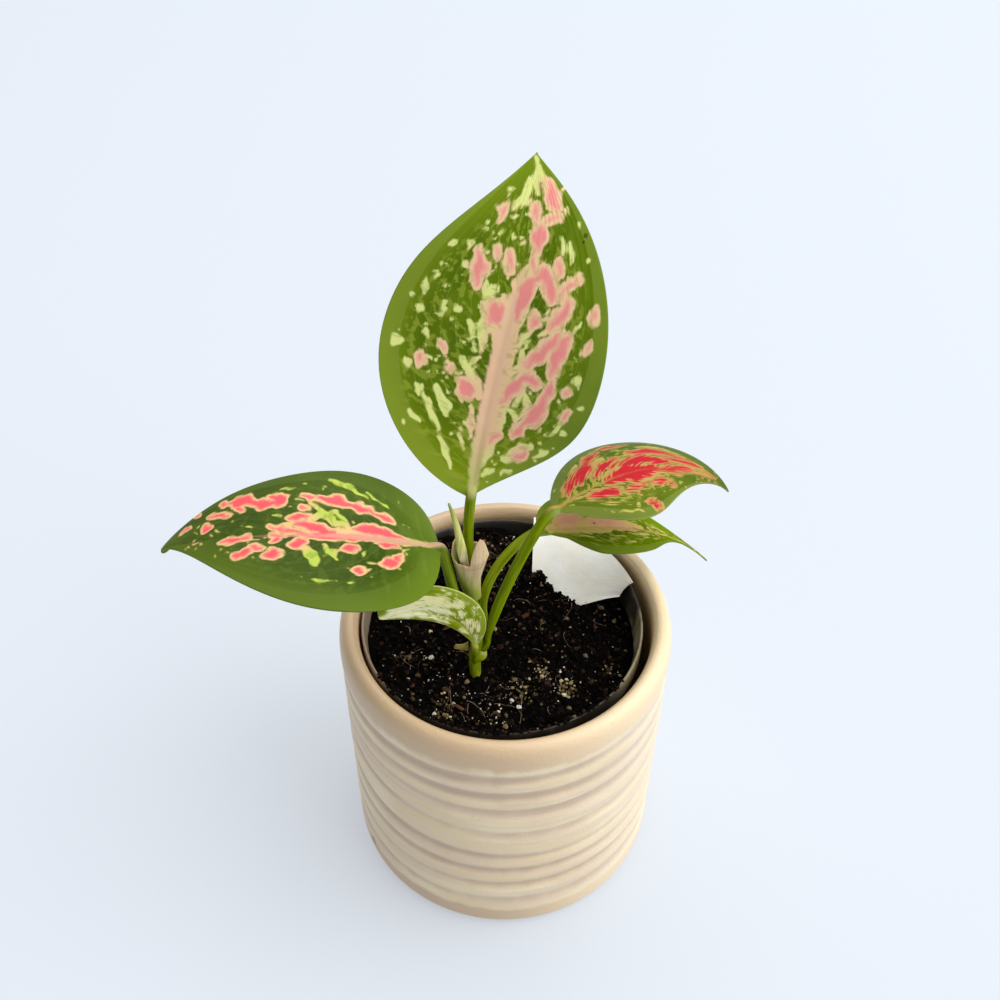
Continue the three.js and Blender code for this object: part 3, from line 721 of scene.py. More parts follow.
small_places = scatter(150, 34, 38.5, PERLITE_HEAPS)
small_sizes = random.lognormal(-1.6, 0.5, len(small_places)).clip(0.1, 0.8)
perlite_places = np.concatenate([PERLITE[:, :2], small_places])
PERLITE_SHARE = 0.75  # of the solid grain's radius
perlite_sizes = np.concatenate([PERLITE[:, 2] * PERLITE_SHARE, small_sizes])
perlite_grains = grains("perlite_grains", perlite_places, perlite_sizes, 0.8, 1.1, 0.15, 35)
BARK_WIDTH = 0.42  # half-width of a bark bit as a share of its half-length
BARK = np.array([[-13, -30, 2.2], [8, -12, 1.9], [-27, -20, 2.0]])
bark_places = np.concatenate([BARK[:, :2], scatter(90, 36, 38.5)])
small_bark = random.lognormal(-0.9, 0.4, len(bark_places) - len(BARK)).clip(0.2, 0.9)
bark_sizes = np.concatenate([BARK[:, 2] * BARK_WIDTH, small_bark])
bark_bits = grains("bark_bits", bark_places, bark_sizes, 0.4, 2.5, 0.1, 37)
TAN_HEAPS = [(18.0, -21.5, 1.6, 90), (-17.5, -29.5, 2.2, 80), (31.0, -14.0, 1.7, 30), (4.5, -22.5, 2.6, 60)]
MORE_HEAPS = [(11.0, -16.5, 1.6, 40), (-4.0, -33.0, 2.5, 40), (-26.0, -12.0, 3.0, 30)]
BACK_HEAPS = [(-14, 24, 6, 160), (0, 28, 6, 190), (-24, 12, 4, 60)]
tan_places = scatter(120, 38, 38.5, TAN_HEAPS + MORE_HEAPS)
tan_sizes = random.lognormal(-1.1, 0.42, len(tan_places)).clip(0.14, 0.8)
tan_crumbs = grains("tan_crumbs", tan_places, tan_sizes, 0.8, 1.2, -0.1, 39)
brown_places = scatter(300, 44, 38.8, BACK_HEAPS)
brown_sizes = random.lognormal(-0.95, 0.4, len(brown_places)).clip(0.16, 0.9)
brown_crumbs = grains("brown_crumbs", brown_places, brown_sizes, 0.75, 1.2, 0.0, 45)

# %% Loose root fibres
FIBRES = 60


def fibre_points():
    """Each fibre is a flat bent line on the soil, square in section, with its ends in the crumbs."""
    random = np.random.default_rng(41)
    starts = scatter(FIBRES, 42, 34)
    points, faces = [], []
    share = np.linspace(-0.5, 0.5, 15)
    for i, start in enumerate(starts):
        length = random.uniform(3, 11)
        turn, bend = random.uniform(0, 2 * np.pi), random.normal(0, 0.9)
        heading = turn + bend * share
        path = start + length * np.stack([share * np.cos(heading), share * np.sin(heading)], -1)
        lift = 0.45 + random.uniform(0, 0.7) * np.cos(np.pi * share) ** 2 - 3.2 * share**2
        centres = np.column_stack([path, soil_height(*path.T) + lift])
        body, sides = skin(tube_rings(centres, np.full(15, random.uniform(0.05, 0.1)), 4))
        faces.append([part + sum(len(p) for p in points) for part in sides])
        points.append(body)
    joined = [np.concatenate([one[k] for one in faces]) for k in range(3)]
    return np.concatenate(points), joined


fibres = put_mesh("root_fibres", *fibre_points())

# %% [markdown]
# Finishes of the soil
#
# Damp peat reflects very little, so its base is close to black and its gloss is faint; what reads as soil
# is the spread of browns from crumb to crumb. Each grain keeps a random tone in an attribute, and the
# finish turns the tone into a colour with a ramp.

# %% Peat, perlite, bark and fibres
def grain_finish(name, stops, roughness, bump_scale, bump_depth):
    """A matt finish whose colour is a ramp over each grain's own tone, with a fine noise over it."""
    grain = Finish(name, Roughness=roughness, Specular_IOR_Level=0.06)
    tone = grain.add("ShaderNodeAttribute", {"attribute_name": "tone"}, output="Fac")
    mm_place = grain.place()
    speck = grain.noise(mm_place, 1.9, 3.0)
    ramp = {"stops": [(position, paint(code)) for position, code in stops]}
    colour = grain.add("ShaderNodeValToRGB", ramp, {0: tone + (speck - 0.5) * 0.5})
    grain.feed("Base Color", colour)
    grain.bump(grain.noise(mm_place, bump_scale, 3.0), bump_depth)
    return grain.material


peat = Finish("damp_peat", Roughness=0.85, Specular_IOR_Level=0.05)
mm_place = peat.place()
browns = {"stops": [(0.3, paint("#020101")), (0.6, paint("#080403")), (0.8, paint("#1c100b"))]}
peat_tone = peat.noise(mm_place, 0.8, 5.0, 0.65)
peat.feed("Base Color", peat.add("ShaderNodeValToRGB", browns, {0: peat_tone}))
peat.bump(peat.noise(mm_place, 1.6, 5.0, 0.7), 0.8)
finish_piece(soil_bed, peat.material, "soil", "soil")
CRUMB_TONES = [(0.0, "#020101"), (0.5, "#070403"), (0.8, "#120a07"), (0.94, "#2a1a12"), (1.0, "#4a3326")]
crumb_material = grain_finish("peat_crumb", CRUMB_TONES, 0.8, 3.0, 0.2)
finish_piece(soil_crumbs, crumb_material, "soil")
finish_piece(rim_crumbs, crumb_material, "soil")
TAN_TONES = [(0.0, "#1e170d"), (0.45, "#4f432b"), (0.8, "#8f8058"), (1.0, "#cbbf9c")]
finish_piece(tan_crumbs, grain_finish("tan_crumb", TAN_TONES, 0.85, 3.0, 0.2), "soil")
BROWN_TONES = [(0.0, "#120b07"), (0.5, "#2c2014"), (0.85, "#55442e"), (1.0, "#7d6a4c")]
finish_piece(brown_crumbs, grain_finish("brown_crumb", BROWN_TONES, 0.85, 3.0, 0.2), "soil")
WHITE_TONES = [(0.0, "#5c564c"), (0.5, "#989184"), (1.0, "#e2dfd6")]
perlite_material = grain_finish("perlite_white", WHITE_TONES, 0.8, 4.0, 0.15)
finish_piece(perlite_grains, perlite_material, "perlite", *(f"perlite_{i}" for i in range(1, 7)))
BARK_TONES = [(0.0, "#0c0705"), (0.5, "#20130d"), (1.0, "#523423")]
bark_material = grain_finish("bark_brown", BARK_TONES, 0.8, 2.5, 0.25)
finish_piece(bark_bits, bark_material, "bark", *(f"bark_{i}" for i in range(1, 4)))
fibre_finish = Finish("fibre_brown", Roughness=0.7)
fibre_tone = fibre_finish.noise(fibre_finish.place(), 0.4, 2.0)
fibre_finish.feed("Base Color", fibre_finish.mix(fibre_tone.fade(0.35, 0.65), "#4b3527", "#9a8468"))
finish_piece(fibres, fibre_finish.material, "bark")

# %% [markdown]
# The blank label
#
# A broad white plastic label leans from the soil to the rim at the back right. It is a ruled sheet: straight
# lines join a curve in the soil to an arc of the rim, with a slight belly. It stays bare.

# %% The label
LABEL = {"into": (-0.8, -3.0, -2.4), "out_from": 0.5, "radius": 42.0, "high_z": 96.7, "from": 76, "to": 17.5}
LABEL_LOWER = np.array([[8.3, 18.5, 88.0], [14, 13, 87.2], [35.5, 12.3, 91.2]])
LABEL_BELLY = 0.9
LABEL_THICK = 0.5
LABEL_FLAT = {"long": 34, "tall": 24}  # about its size laid flat, for the pattern on it
BULGE = {"along": 0.25, "up": 0.72, "long": 26, "tall": 16, "spread": 3.5, "height": 0.25}
BURIED = 0.12  # share of the label's height that is under its lower line


def label_grid(rows, columns):
    """Lines from a curve in the soil to an arc at the rim, lifted by a sine, with buried first rows."""
    a = np.linspace(0, 1, columns)[None, :, None]
    b = np.linspace(-BURIED, 1, rows)[:, None, None]
    start, bend, end = LABEL_LOWER
    low = (1 - a) ** 2 * start + 2 * a * (1 - a) * bend + a**2 * end
    arc = np.radians(lerp(LABEL["from"], LABEL["to"], a))
    high = LABEL["radius"] * np.concatenate([np.cos(arc), np.sin(arc)], -1) + [NURSERY["x"], 0]
    shown = np.maximum(b, 0)
    flat = lerp(low[..., :2], high, shown) + 0.05 * np.sin(9 * a) * np.sin(np.pi * shown)
    z = lerp(low[..., 2:], LABEL["high_z"], shown) + LABEL_BELLY * np.sin(np.pi * shown)
    deep = lerp(1, 0.15, smooth_step(a, LABEL["out_from"], 1)) * np.minimum(b, 0) / -BURIED
    return np.concatenate([flat, z], -1) + deep * np.array(LABEL["into"]), a + 0 * b, b + 0 * a


label_points, label_a, label_b = label_grid(54, 110)
bulge_along = (label_a[..., 0] - BULGE["along"]) * BULGE["long"]
bulge_up = (label_b[..., 0] - BULGE["up"]) * BULGE["tall"]
bulge_far = np.hypot(bulge_along, bulge_up) / BULGE["spread"]
label_points[..., 2] += BULGE["height"] * np.exp(-(bulge_far**2))
label_flat = [label_a * LABEL_FLAT["long"], label_b * LABEL_FLAT["tall"], label_a * 0]
label_share = {"place": np.concatenate(label_flat, -1)}
blank_label = sheet_piece("blank_label", label_points, LABEL_THICK, label_share)
vinyl = Finish("label_white", Roughness=0.45, Specular_IOR_Level=0.4)
vinyl.shader.inputs["Subsurface Weight"].default_value = 0.15
vinyl.shader.inputs["Subsurface Scale"].default_value = 0.001
label_place = vinyl.share("place")
_, rise, _ = vinyl.split(label_place)
shade = vinyl.noise(label_place, 0.09, 2.0)
smear = vinyl.noise(vinyl.stretched(label_place, 1, 2.5, 1), 0.5, 4.0, 0.65).fade(0.55, 0.75)
soiled = (1 - rise.fade(0.5, 4.5)) * smear
tone = vinyl.mix(shade.fade(0.35, 0.65), "#f8f3ea", "#fffdf9")
tone = vinyl.mix(soiled * 0.5, tone, "#8c7c66")
vinyl.feed("Base Color", tone)
vinyl.bump(vinyl.noise(label_place, 0.35, 2.0), 0.15)
finish_piece(blank_label, vinyl.material, "label_plastic", "plant_label")

# %% [markdown]
# The leaves' shape
#
# A leaf is a midrib that bends in space and a blade whose two halves have their own widths. The midrib's
# heading and rise are short sums of powers of the length, the half-widths are s^n (1-s)^m, and the halves
# fold up from the midrib. One formula then gives all five leaves; one has a shoulder on its right half,
# where it widens at once, and one has a blunt tip. The stalk is a Bezier curve that runs into the midrib,
# so a leaf is one closed body from its foot to its tip.

# %% Values of the five leaves
LEAVES = {
    "upright": {
        "stalk": {"heel": (-8.3, -14.6, 111), "from": (-8.8, -13.8, 117.2), "via": (-10.6, -12.2, 129)},
        "reach": 10.7, "foot": 1.1, "radius": 1.4, "base": (-9.5, -8, 151.5), "length": 89.5,
        "heading": (59, -70, 104), "rise": (76, -3, -21), "roll": (26, -33), "fold": 8, "cup": 0,
        "left": (31.2, 0.75, 1), "right": (28.4, 1.15, 1.2), "grid": (250, 146),
    },
    "left": {
        "stalk": {"heel": (-8.2, -14.8, 105.2), "from": (-10.9, -15.9, 112), "via": (-14.8, -20, 121)},
        "reach": 2.5, "foot": 1, "radius": 1.5, "base": (-18, -13, 137.5), "length": 79,
        "heading": (191, -26, 0), "rise": (24, -54, 0), "roll": (3, -11), "fold": 8, "cup": -1.6,
        "left": (27.6, 0.6, 1.6), "right": (23.2, 0.3, 0.6), "tip": 1.6, "grid": (230, 130),
    },
    "upper_right": {
        "stalk": {"heel": (-8.3, -15.3, 96), "from": (-5.1, -15.9, 103), "via": (-5.2, -16, 112.6)},
        "reach": 5, "foot": 0.9, "radius": 1.5, "base": (12, -5.5, 144), "length": 59.5,
        "heading": (36, 11, -66), "rise": (8, -21, -23), "roll": (-10, 8), "fold": 1, "cup": -4.2,
        "left": (20, 0.85, 0.9), "right": (15.8, 1.3, 2.05), "grid": (180, 110),
    },
    "lower_right": {
        "stalk": {"heel": (-8.1, -14.9, 104), "from": (-6.2, -12.4, 110.5), "via": (-8, -7, 119.6)},
        "reach": 6.9, "foot": 1, "radius": 1.4, "base": (9.5, 0, 131), "length": 68,
        "heading": (32, -15, -10), "rise": (-22, 12, -43), "roll": (-4, -21), "fold": 12, "cup": -0.4,
        "left": (15.6, 0.6, 1), "right": (21.8, 1.1, 3), "shoulder": 0.12, "grid": (190, 110),
    },
    "small": {
        "stalk": {"heel": (-8.8, -15.9, 93.6), "from": (-8.8, -18.2, 98.4), "via": (-8.8, -18.6, 100.4)},
        "reach": 1.4, "foot": 0.7, "radius": 0.9, "base": (-8.6, -18.5, 103.3), "length": 36.5,
        "heading": (187, 12, 0), "rise": (83, -94, 0), "roll": (-88, 10), "fold": 14, "cup": -1.2,
        "left": (3.2, 0.8, 0.6), "right": (10, 0.8, 0.5), "grid": (130, 70),
    },
}
BLADE_HALF = 0.24  # half the thickness of a blade
STALK_ROWS = 44
SWELL = 0.035  # half the height of the swellings between side veins, for a quilt of 1
WAVE_RUN = 6.1  # along the margin, for one radian of its wave
CHANNEL = {"deep": 0.3, "half": 0.8}
EDGE_ROUND = 0.35  # how far in from the margin the blade has its full thickness


# %% The midrib and the halves
def powers(values, s):
    """values[0] + values[1] s + values[2] s^2, from degrees to radians."""
    return np.radians(sum(value * s**k for k, value in enumerate(values)))


def blade_frame(leaf, s):
    """Along, across and up from the midrib: spherical directions, turned about the midrib by the roll."""
    heading, rise, roll = (powers(leaf[key], s) for key in ("heading", "rise", "roll"))
    along = np.stack([np.cos(rise) * np.cos(heading), np.cos(rise) * np.sin(heading), np.sin(rise)], -1)
    level = np.stack([-np.sin(heading), np.cos(heading), 0 * s], -1)
    across = level * np.cos(roll)[:, None] + np.cross(along, level) * np.sin(roll)[:, None]
    return along, across, np.cross(along, across)


def half_shape(leaf, s, left):
    """s^fullness (1 - s)^taper over its highest value; below a right shoulder, about a third of that."""
    _, fullness, taper = leaf["left"] if left else leaf["right"]
    peak = fullness / (fullness + taper)
    share = s**fullness * (1 - s) ** taper / (peak**fullness * (1 - peak) ** taper)
    shoulder = None if left else leaf.get("shoulder")
    return share * lerp(0.35, 1, smooth_step(s, shoulder - 0.03, shoulder + 0.02)) if shoulder else share


def blunt_tip(leaf, s):
    """Half the width of a circle of the tip's radius that ends at s = 1."""
    radius = leaf.get("tip", 0.05)
    before = (1 - s) * leaf["length"] / radius
    return radius * np.sqrt(np.maximum(0, before * (2 - before)))


HEEL = {"bend": 0.28, "flare": 1.55, "rows": 18}  # how the stalk leaves the stem


def stalk_path(leaf, count):
    """A slow bend up and out of the stem, then a cubic Bezier curve to the blade's base, with its radii."""
    heel, start, via = (np.array(leaf["stalk"][key], float) for key in ("heel", "from", "via"))
    base = np.array(leaf["base"], float)
    lead = base - leaf["reach"] * blade_frame(leaf, np.zeros(1))[0][0]
    t = np.linspace(0, 1, count, endpoint=False)[:, None]
    main = (1 - t) ** 3 * start + 3 * t * (1 - t) ** 2 * via + 3 * t**2 * (1 - t) * lead + t**3 * base
    bend = start - unit(via - start) * HEEL["bend"] * np.linalg.norm(start - heel)
    u = np.linspace(0, 1, HEEL["rows"], endpoint=False)[:, None]
    out = (1 - u) ** 2 * heel + 2 * u * (1 - u) * bend + u**2 * start
    radius = lerp(leaf["foot"], leaf["radius"], smooth_step(t[:, 0], 0, 0.3))
    foot = leaf["foot"] * lerp(HEEL["flare"], 1, smooth_step(u[:, 0], 0, 1))
    return np.concatenate([out, main]), np.concatenate([foot, radius])


VEIN = {"reach": 0.86, "fall": 1.4, "turn": 0.12}  # a side vein's reach, its fall to the tip, its turn


def vein_side(s, start):
    """The share of the half-width where a side vein that leaves the midrib at start has come to at s."""
    reach = VEIN["reach"] * (1 - start) ** VEIN["fall"]
    return reach * (1 - np.exp(-np.maximum(s - start, 0) / VEIN["turn"]))


def vein_start(s, side):
    """The start of the side vein through (s, side), found by halving an interval 22 times."""
    low, high = np.zeros_like(side), s + 0 * side
    for _ in range(22):
        middle = (low + high) / 2
        beyond = vein_side(s, middle) > side
        low, high = np.where(beyond, middle, low), np.where(beyond, high, middle)
    return (low + high) / 2


def leaf_body(leaf):
    """Rings of a whole leaf, with the shares s, v, aside, edge, face, start and run of each ring point.

    The run is the way along the midrib, less than 0 on the stalk. A point is the midrib's place, plus aside
    across, plus the relief and half the thickness up. The relief is the half's fold and cup, swellings between
    the side veins and a slow wave along the margin. The top face also has a channel along the midrib.
    """
    rows, columns = leaf["grid"]
    s = 0.5 - 0.5 * np.cos(np.pi * np.linspace(0, 1, rows))
    fine = np.linspace(0, 1, 2401)
    steps = blade_frame(leaf, (fine[1:] + fine[:-1]) / 2)[0] * leaf["length"] / 2400
    path = np.concatenate([[leaf["base"]], leaf["base"] + np.cumsum(steps, 0)])
    at = np.stack([np.interp(s, fine, path[:, k]) for k in range(3)], -1)
    along, across, up = blade_frame(leaf, s)
    stalk_at, stalk_radius = stalk_path(leaf, STALK_ROWS)
    to_blade = np.concatenate([stalk_at, at[:1]])
    stalk_along = unit(np.gradient(to_blade, axis=0)[:-1])
    stalk_across = across[0] - (stalk_along @ across[0])[:, None] * stalk_along
    stalk_across = unit(stalk_across)
    before = len(stalk_at)
    stalk_run = -np.linalg.norm(np.diff(to_blade, axis=0), axis=1)[::-1].cumsum()[::-1]
    at = np.concatenate([stalk_at, at])
    across = np.concatenate([stalk_across, across])
    up = np.concatenate([np.cross(stalk_along, stalk_across), up])
    run = np.concatenate([stalk_run, s * leaf["length"]])[:, None]
    s = np.concatenate([np.zeros(before), s])[:, None]
    stalk = np.concatenate([stalk_radius, lerp(leaf["radius"], 0.12, s[before:, 0])])[:, None]

    flat = np.linspace(-1, 1, columns)
    v = lerp(flat, np.sin(flat * np.pi / 2), 0.6)
    v = np.concatenate([v, v[-2:0:-1]])[None, :]
    face = np.concatenate([np.ones(columns), -np.ones(columns - 2)])[None, :] * (np.abs(v) < 0.9999)
    left = v > 0
    shape = np.where(left, half_shape(leaf, s, True), half_shape(leaf, s, False))
    half = np.maximum(stalk, shape * np.where(left, leaf["left"][0], leaf["right"][0]))
    half = np.maximum(half, blunt_tip(leaf, s) * (run > 0))
    aside = v * half
    edge = half - np.abs(aside)
    length = leaf["length"]
    relief = shape * (np.abs(aside) * np.tan(np.radians(leaf["fold"])) + leaf["cup"] * v**2)
    start = vein_start(s + 0 * v, np.abs(v) + 0 * s)
    open_part = smooth_step(s, 0.02, 0.15) * smooth_step(edge, 0, 4)
    relief = relief + SWELL * leaf["quilt"] * np.cos(2 * np.pi * start * leaf["veins"]) * open_part
    ripple = np.sin(s * length / WAVE_RUN + 2 * left + length)
    relief = relief + leaf["wave"] * np.abs(v) ** 5 * shape * ripple
    hollow = np.exp(-((aside / CHANNEL["half"]) ** 2))
    channel = CHANNEL["deep"] * hollow * smooth_step(s, 0.01, 0.12) * (1 - s)
    rounded = np.sqrt(1 - (1 - np.minimum(edge / EDGE_ROUND, 1)) ** 2)
    round_part = np.sqrt(np.maximum(0, stalk**2 - aside**2))
    top = np.maximum(BLADE_HALF * rounded, round_part * (1 - smooth_step(s, 0, 0.06)))
    under = ((BLADE_HALF * rounded) ** 3 + round_part**3) ** (1 / 3)
    thick = np.where(face >= 0, top - channel, -under)
    rings = at[:, None] + across[:, None] * aside[..., None] + up[:, None] * (relief + thick)[..., None]
    shares = {"s": s + 0 * v, "v": v + 0 * s, "aside": aside, "edge": edge}
    shares.update(face=face + 0 * s, start=start, run=run + 0 * v)
    return rings, shares


# %% [markdown]
# The leaves' markings
#
# Red valentine leaves are green with splashes of pink, each with a cream border, and with smaller cream
# flecks. A noise alone never gives the few large splashes that make a leaf look like itself, and an image
# isn't used here. So each large splash is a short stroke in the leaf's own coordinates:
# its share of the length, and its share of the half-width, minus on the right. Small flecks are seeded and
# follow the side veins. Every point of the mesh then stores its distance into the nearest splash, and the
# finish turns distances into colours, with ragged edges.

# %% Strokes drawn on each leaf
# A stroke is its half-width in mm and then its points, (share of length, share of half-width) each.
UPRIGHT_PINK = [
    [1.51, (0.92, -0.48), (0.865, -0.5)],
    [0.97, (0.86, 0.5), (0.822, 0.46)],
    [0.85, (0.865, -0.05), (0.83, -0.1)],
    [1.81, (0.815, -0.18), (0.76, -0.15)],
    [0.72, (0.83, -0.25), (0.842, -0.36), (0.84, -0.52)],
    [0.79, (0.745, -0.45), (0.715, -0.45)],
    [1.15, (0.735, -0.14), (0.705, -0.15)],
    [2.05, (0.575, -0.06), (0.645, -0.1), (0.689, -0.17)],
    [1.81, (0.689, -0.17), (0.703, -0.27), (0.682, -0.37), (0.648, -0.39)],
    [0.85, (0.715, -0.7), (0.7, -0.57), (0.665, -0.5)],
    [1.64, (0.662, -0.58), (0.63, -0.54), (0.59, -0.43)],
    [1.81, (0.71, 0.46), (0.682, 0.41), (0.63, 0.37)],
    [0.72, (0.738, 0.31), (0.71, 0.27)],
    [0.97, (0.74, 0.16), (0.685, 0.1)],
    [2.55, (0.588, 0.13), (0.545, 0.1)],
    [1.33, (0.6, -0.28), (0.57, -0.24)],
    [1.51, (0.468, -0.28), (0.502, -0.36), (0.547, -0.46), (0.575, -0.51)],
    [1.64, (0.475, -0.54), (0.507, -0.535), (0.559, -0.585), (0.582, -0.62)],
    [1.39, (0.332, -0.14), (0.381, -0.2), (0.419, -0.27), (0.44, -0.36), (0.43, -0.44)],
    [1.46, (0.25, -0.41), (0.298, -0.46)],
    [2.05, (0.298, -0.46), (0.348, -0.53), (0.406, -0.557)],
    [1.46, (0.406, -0.557), (0.455, -0.56)],
    [1.08, (0.2, -0.14), (0.234, -0.23)],
    [1.21, (0.178, -0.64), (0.213, -0.7)],
    [2.29, (0.345, 0.25), (0.317, 0.17)],
    [0.9, (0.66, -0.85), (0.64, -0.85)],
    [0.6, (0.59, -0.83), (0.565, -0.81)],
    [1.08, (0.385, 0.63), (0.36, 0.64)],
    [0.72, (0.43, 0.46), (0.415, 0.45)],
    [0.72, (0.38, 0.37), (0.365, 0.36)],
    [0.72, (0.455, -0.72), (0.44, -0.72)],
    [0.85, (0.4, -0.8), (0.375, -0.78)],
]
UPRIGHT_CREAM = [
    [3.6, (0.7, -0.1), (0.6, -0.05), (0.52, 0.0), (0.42, -0.05)],
    [3.0, (0.46, -0.1), (0.34, -0.12), (0.22, -0.12), (0.12, -0.1)],
    [1.6, (0.5, -0.2), (0.42, -0.3), (0.34, -0.3)],
    [1.8, (0.62, 0.07), (0.55, 0.0), (0.47, -0.06), (0.4, -0.04), (0.3, -0.03)],
    [2.64, (0.5, -0.06), (0.44, -0.05)],
    [1.92, (0.69, -0.02), (0.62, -0.02)],
    [1.08, (0.98, -0.02), (0.93, -0.02), (0.9, -0.05)],
    [0.84, (0.965, -0.25), (0.94, -0.3), (0.92, -0.45)],
    [1.32, (0.93, 0.15), (0.88, 0.22), (0.85, 0.3)],
    [0.96, (0.86, -0.03), (0.8, -0.1)],
    [1.32, (0.67, 0.4), (0.66, 0.3)],
    [1.44, (0.64, 0.26), (0.6, 0.25)],
    [2.4, (0.6, 0.2), (0.52, 0.13)],
    [1.32, (0.56, 0.24), (0.5, 0.18), (0.45, 0.15)],
    [1.2, (0.52, 0.3), (0.48, 0.24)],
    [1.08, (0.41, 0.22), (0.43, 0.16)],
    [1.8, (0.41, 0.28), (0.36, 0.15), (0.32, 0.08)],
    [0.66, (0.55, -0.34), (0.59, -0.42)],
    [0.72, (0.6, -0.34), (0.54, -0.2), (0.49, -0.12)],
    [0.84, (0.42, -0.12), (0.46, -0.26)],
    [2.04, (0.34, -0.1), (0.26, -0.16), (0.2, -0.1)],
    [0.84, (0.39, -0.34), (0.36, -0.42), (0.3, -0.36)],
    [0.96, (0.33, -0.22), (0.31, -0.33), (0.28, -0.42)],
    [2.04, (0.16, -0.5), (0.2, -0.62), (0.24, -0.66)],
    [0.72, (0.12, -0.45), (0.08, -0.3)],
    [0.84, (0.1, -0.75), (0.13, -0.8)],
    [0.78, (0.205, -0.86), (0.25, -0.87)],
    [0.84, (0.3, -0.76), (0.36, -0.8), (0.405, -0.83)],
    [0.6, (0.58, -0.62), (0.623, -0.71)],
    [0.6, (0.5, -0.8), (0.475, -0.79)],
    [0.66, (0.8, -0.5), (0.76, -0.5)],
    [0.6, (0.79, -0.63), (0.75, -0.63)],
    [0.6, (0.73, -0.72), (0.72, -0.64)],
    [0.66, (0.86, 0.5), (0.84, 0.55)],
    [1.2, (0.724, 0.775), (0.715, 0.765)],
    [1.08, (0.74, 0.61), (0.725, 0.6)],
    [0.84, (0.735, 0.51), (0.72, 0.48)],
    [0.96, (0.6, 0.81), (0.57, 0.77), (0.555, 0.75)],
    [1.2, (0.515, 0.74), (0.5, 0.74)],
    [1.08, (0.55, 0.45), (0.54, 0.44)],
    [0.84, (0.545, 0.57), (0.52, 0.55)],
    [1.08, (0.455, 0.63), (0.44, 0.62)],
    [1.56, (0.405, 0.86), (0.385, 0.87)],
    [0.96, (0.36, 0.75), (0.34, 0.73)],
    [0.96, (0.44, 0.49), (0.4, 0.43)],
    [0.84, (0.3, 0.66), (0.27, 0.62)],
    [1.56, (0.31, 0.47), (0.26, 0.38), (0.24, 0.36)],
    [0.96, (0.28, 0.58), (0.22, 0.5), (0.19, 0.46)],
    [0.84, (0.22, 0.75), (0.2, 0.68)],
    [1.08, (0.29, 0.14), (0.25, 0.12), (0.2, 0.12)],
    [0.96, (0.17, 0.46), (0.13, 0.42), (0.09, 0.42)],
    [0.72, (0.19, 0.22), (0.15, 0.18)],
    [0.84, (0.68, 0.52), (0.66, 0.54)],
]
LEFT_PINK = [
    [0.8, (0.79, -0.8), (0.76, -0.76)],
    [1.81, (0.75, -0.74), (0.731, -0.7), (0.695, -0.7), (0.66, -0.6)],
    [1.67, (0.66, -0.58), (0.62, -0.53), (0.58, -0.52)],
    [2.18, (0.575, -0.55), (0.552, -0.56)],
    [1.16, (0.6, -0.66), (0.575, -0.62)],
    [1.16, (0.715, -0.56), (0.7, -0.52)],
    [0.95, (0.826, -0.6), (0.745, -0.48)],
    [1.23, (0.828, -0.31), (0.812, -0.3)],
    [0.88, (0.93, -0.52), (0.9, -0.56)],
    [0.65, (0.89, -0.88), (0.88, -0.86)],
    [0.88, (0.479, -0.6), (0.441, -0.55)],
    [1.96, (0.42, -0.54), (0.36, -0.51), (0.31, -0.46)],
    [1.61, (0.31, -0.45), (0.24, -0.41)],
    [1.1, (0.24, -0.41), (0.19, -0.34), (0.165, -0.3)],
    [1.88, (0.285, -0.12), (0.227, -0.13), (0.18, -0.1)],
    [1.31, (0.3, -0.13), (0.17, -0.08), (0.13, -0.04)],
    [1.23, (0.516, -0.26), (0.455, -0.27)],
    [1.45, (0.49, -0.18), (0.435, -0.13), (0.393, -0.07), (0.36, -0.05)],
    [0.73, (0.578, -0.14), (0.5, -0.06), (0.455, -0.02)],
    [1.23, (0.46, -0.02), (0.4, 0.01), (0.33, 0.01), (0.25, 0.02)],
    [0.8, (0.57, 0.0), (0.52, 0.01)],
    [1.1, (0.55, 0.1), (0.545, 0.06)],
    [2.04, (0.487, 0.15), (0.455, 0.12)],
    [1.16, (0.672, 0.5), (0.65, 0.42)],
    [1.61, (0.645, 0.4), (0.628, 0.37)],
    [1.88, (0.563, 0.36), (0.525, 0.33)],
    [0.73, (0.63, 0.24), (0.585, 0.24)],
    [1.1, (0.735, 0.13), (0.69, 0.07), (0.645, 0.03)],
    [1.61, (0.321, 0.19), (0.285, 0.15)],
    [1.38, (0.278, 0.48), (0.27, 0.47)],
    [1.96, (0.197, 0.38), (0.163, 0.35)],
    [1.02, (0.16, 0.34), (0.147, 0.25)],
    [1.23, (0.21, 0.08), (0.15, 0.09)],
    [0.73, (0.485, -0.43), (0.455, -0.4)],
]
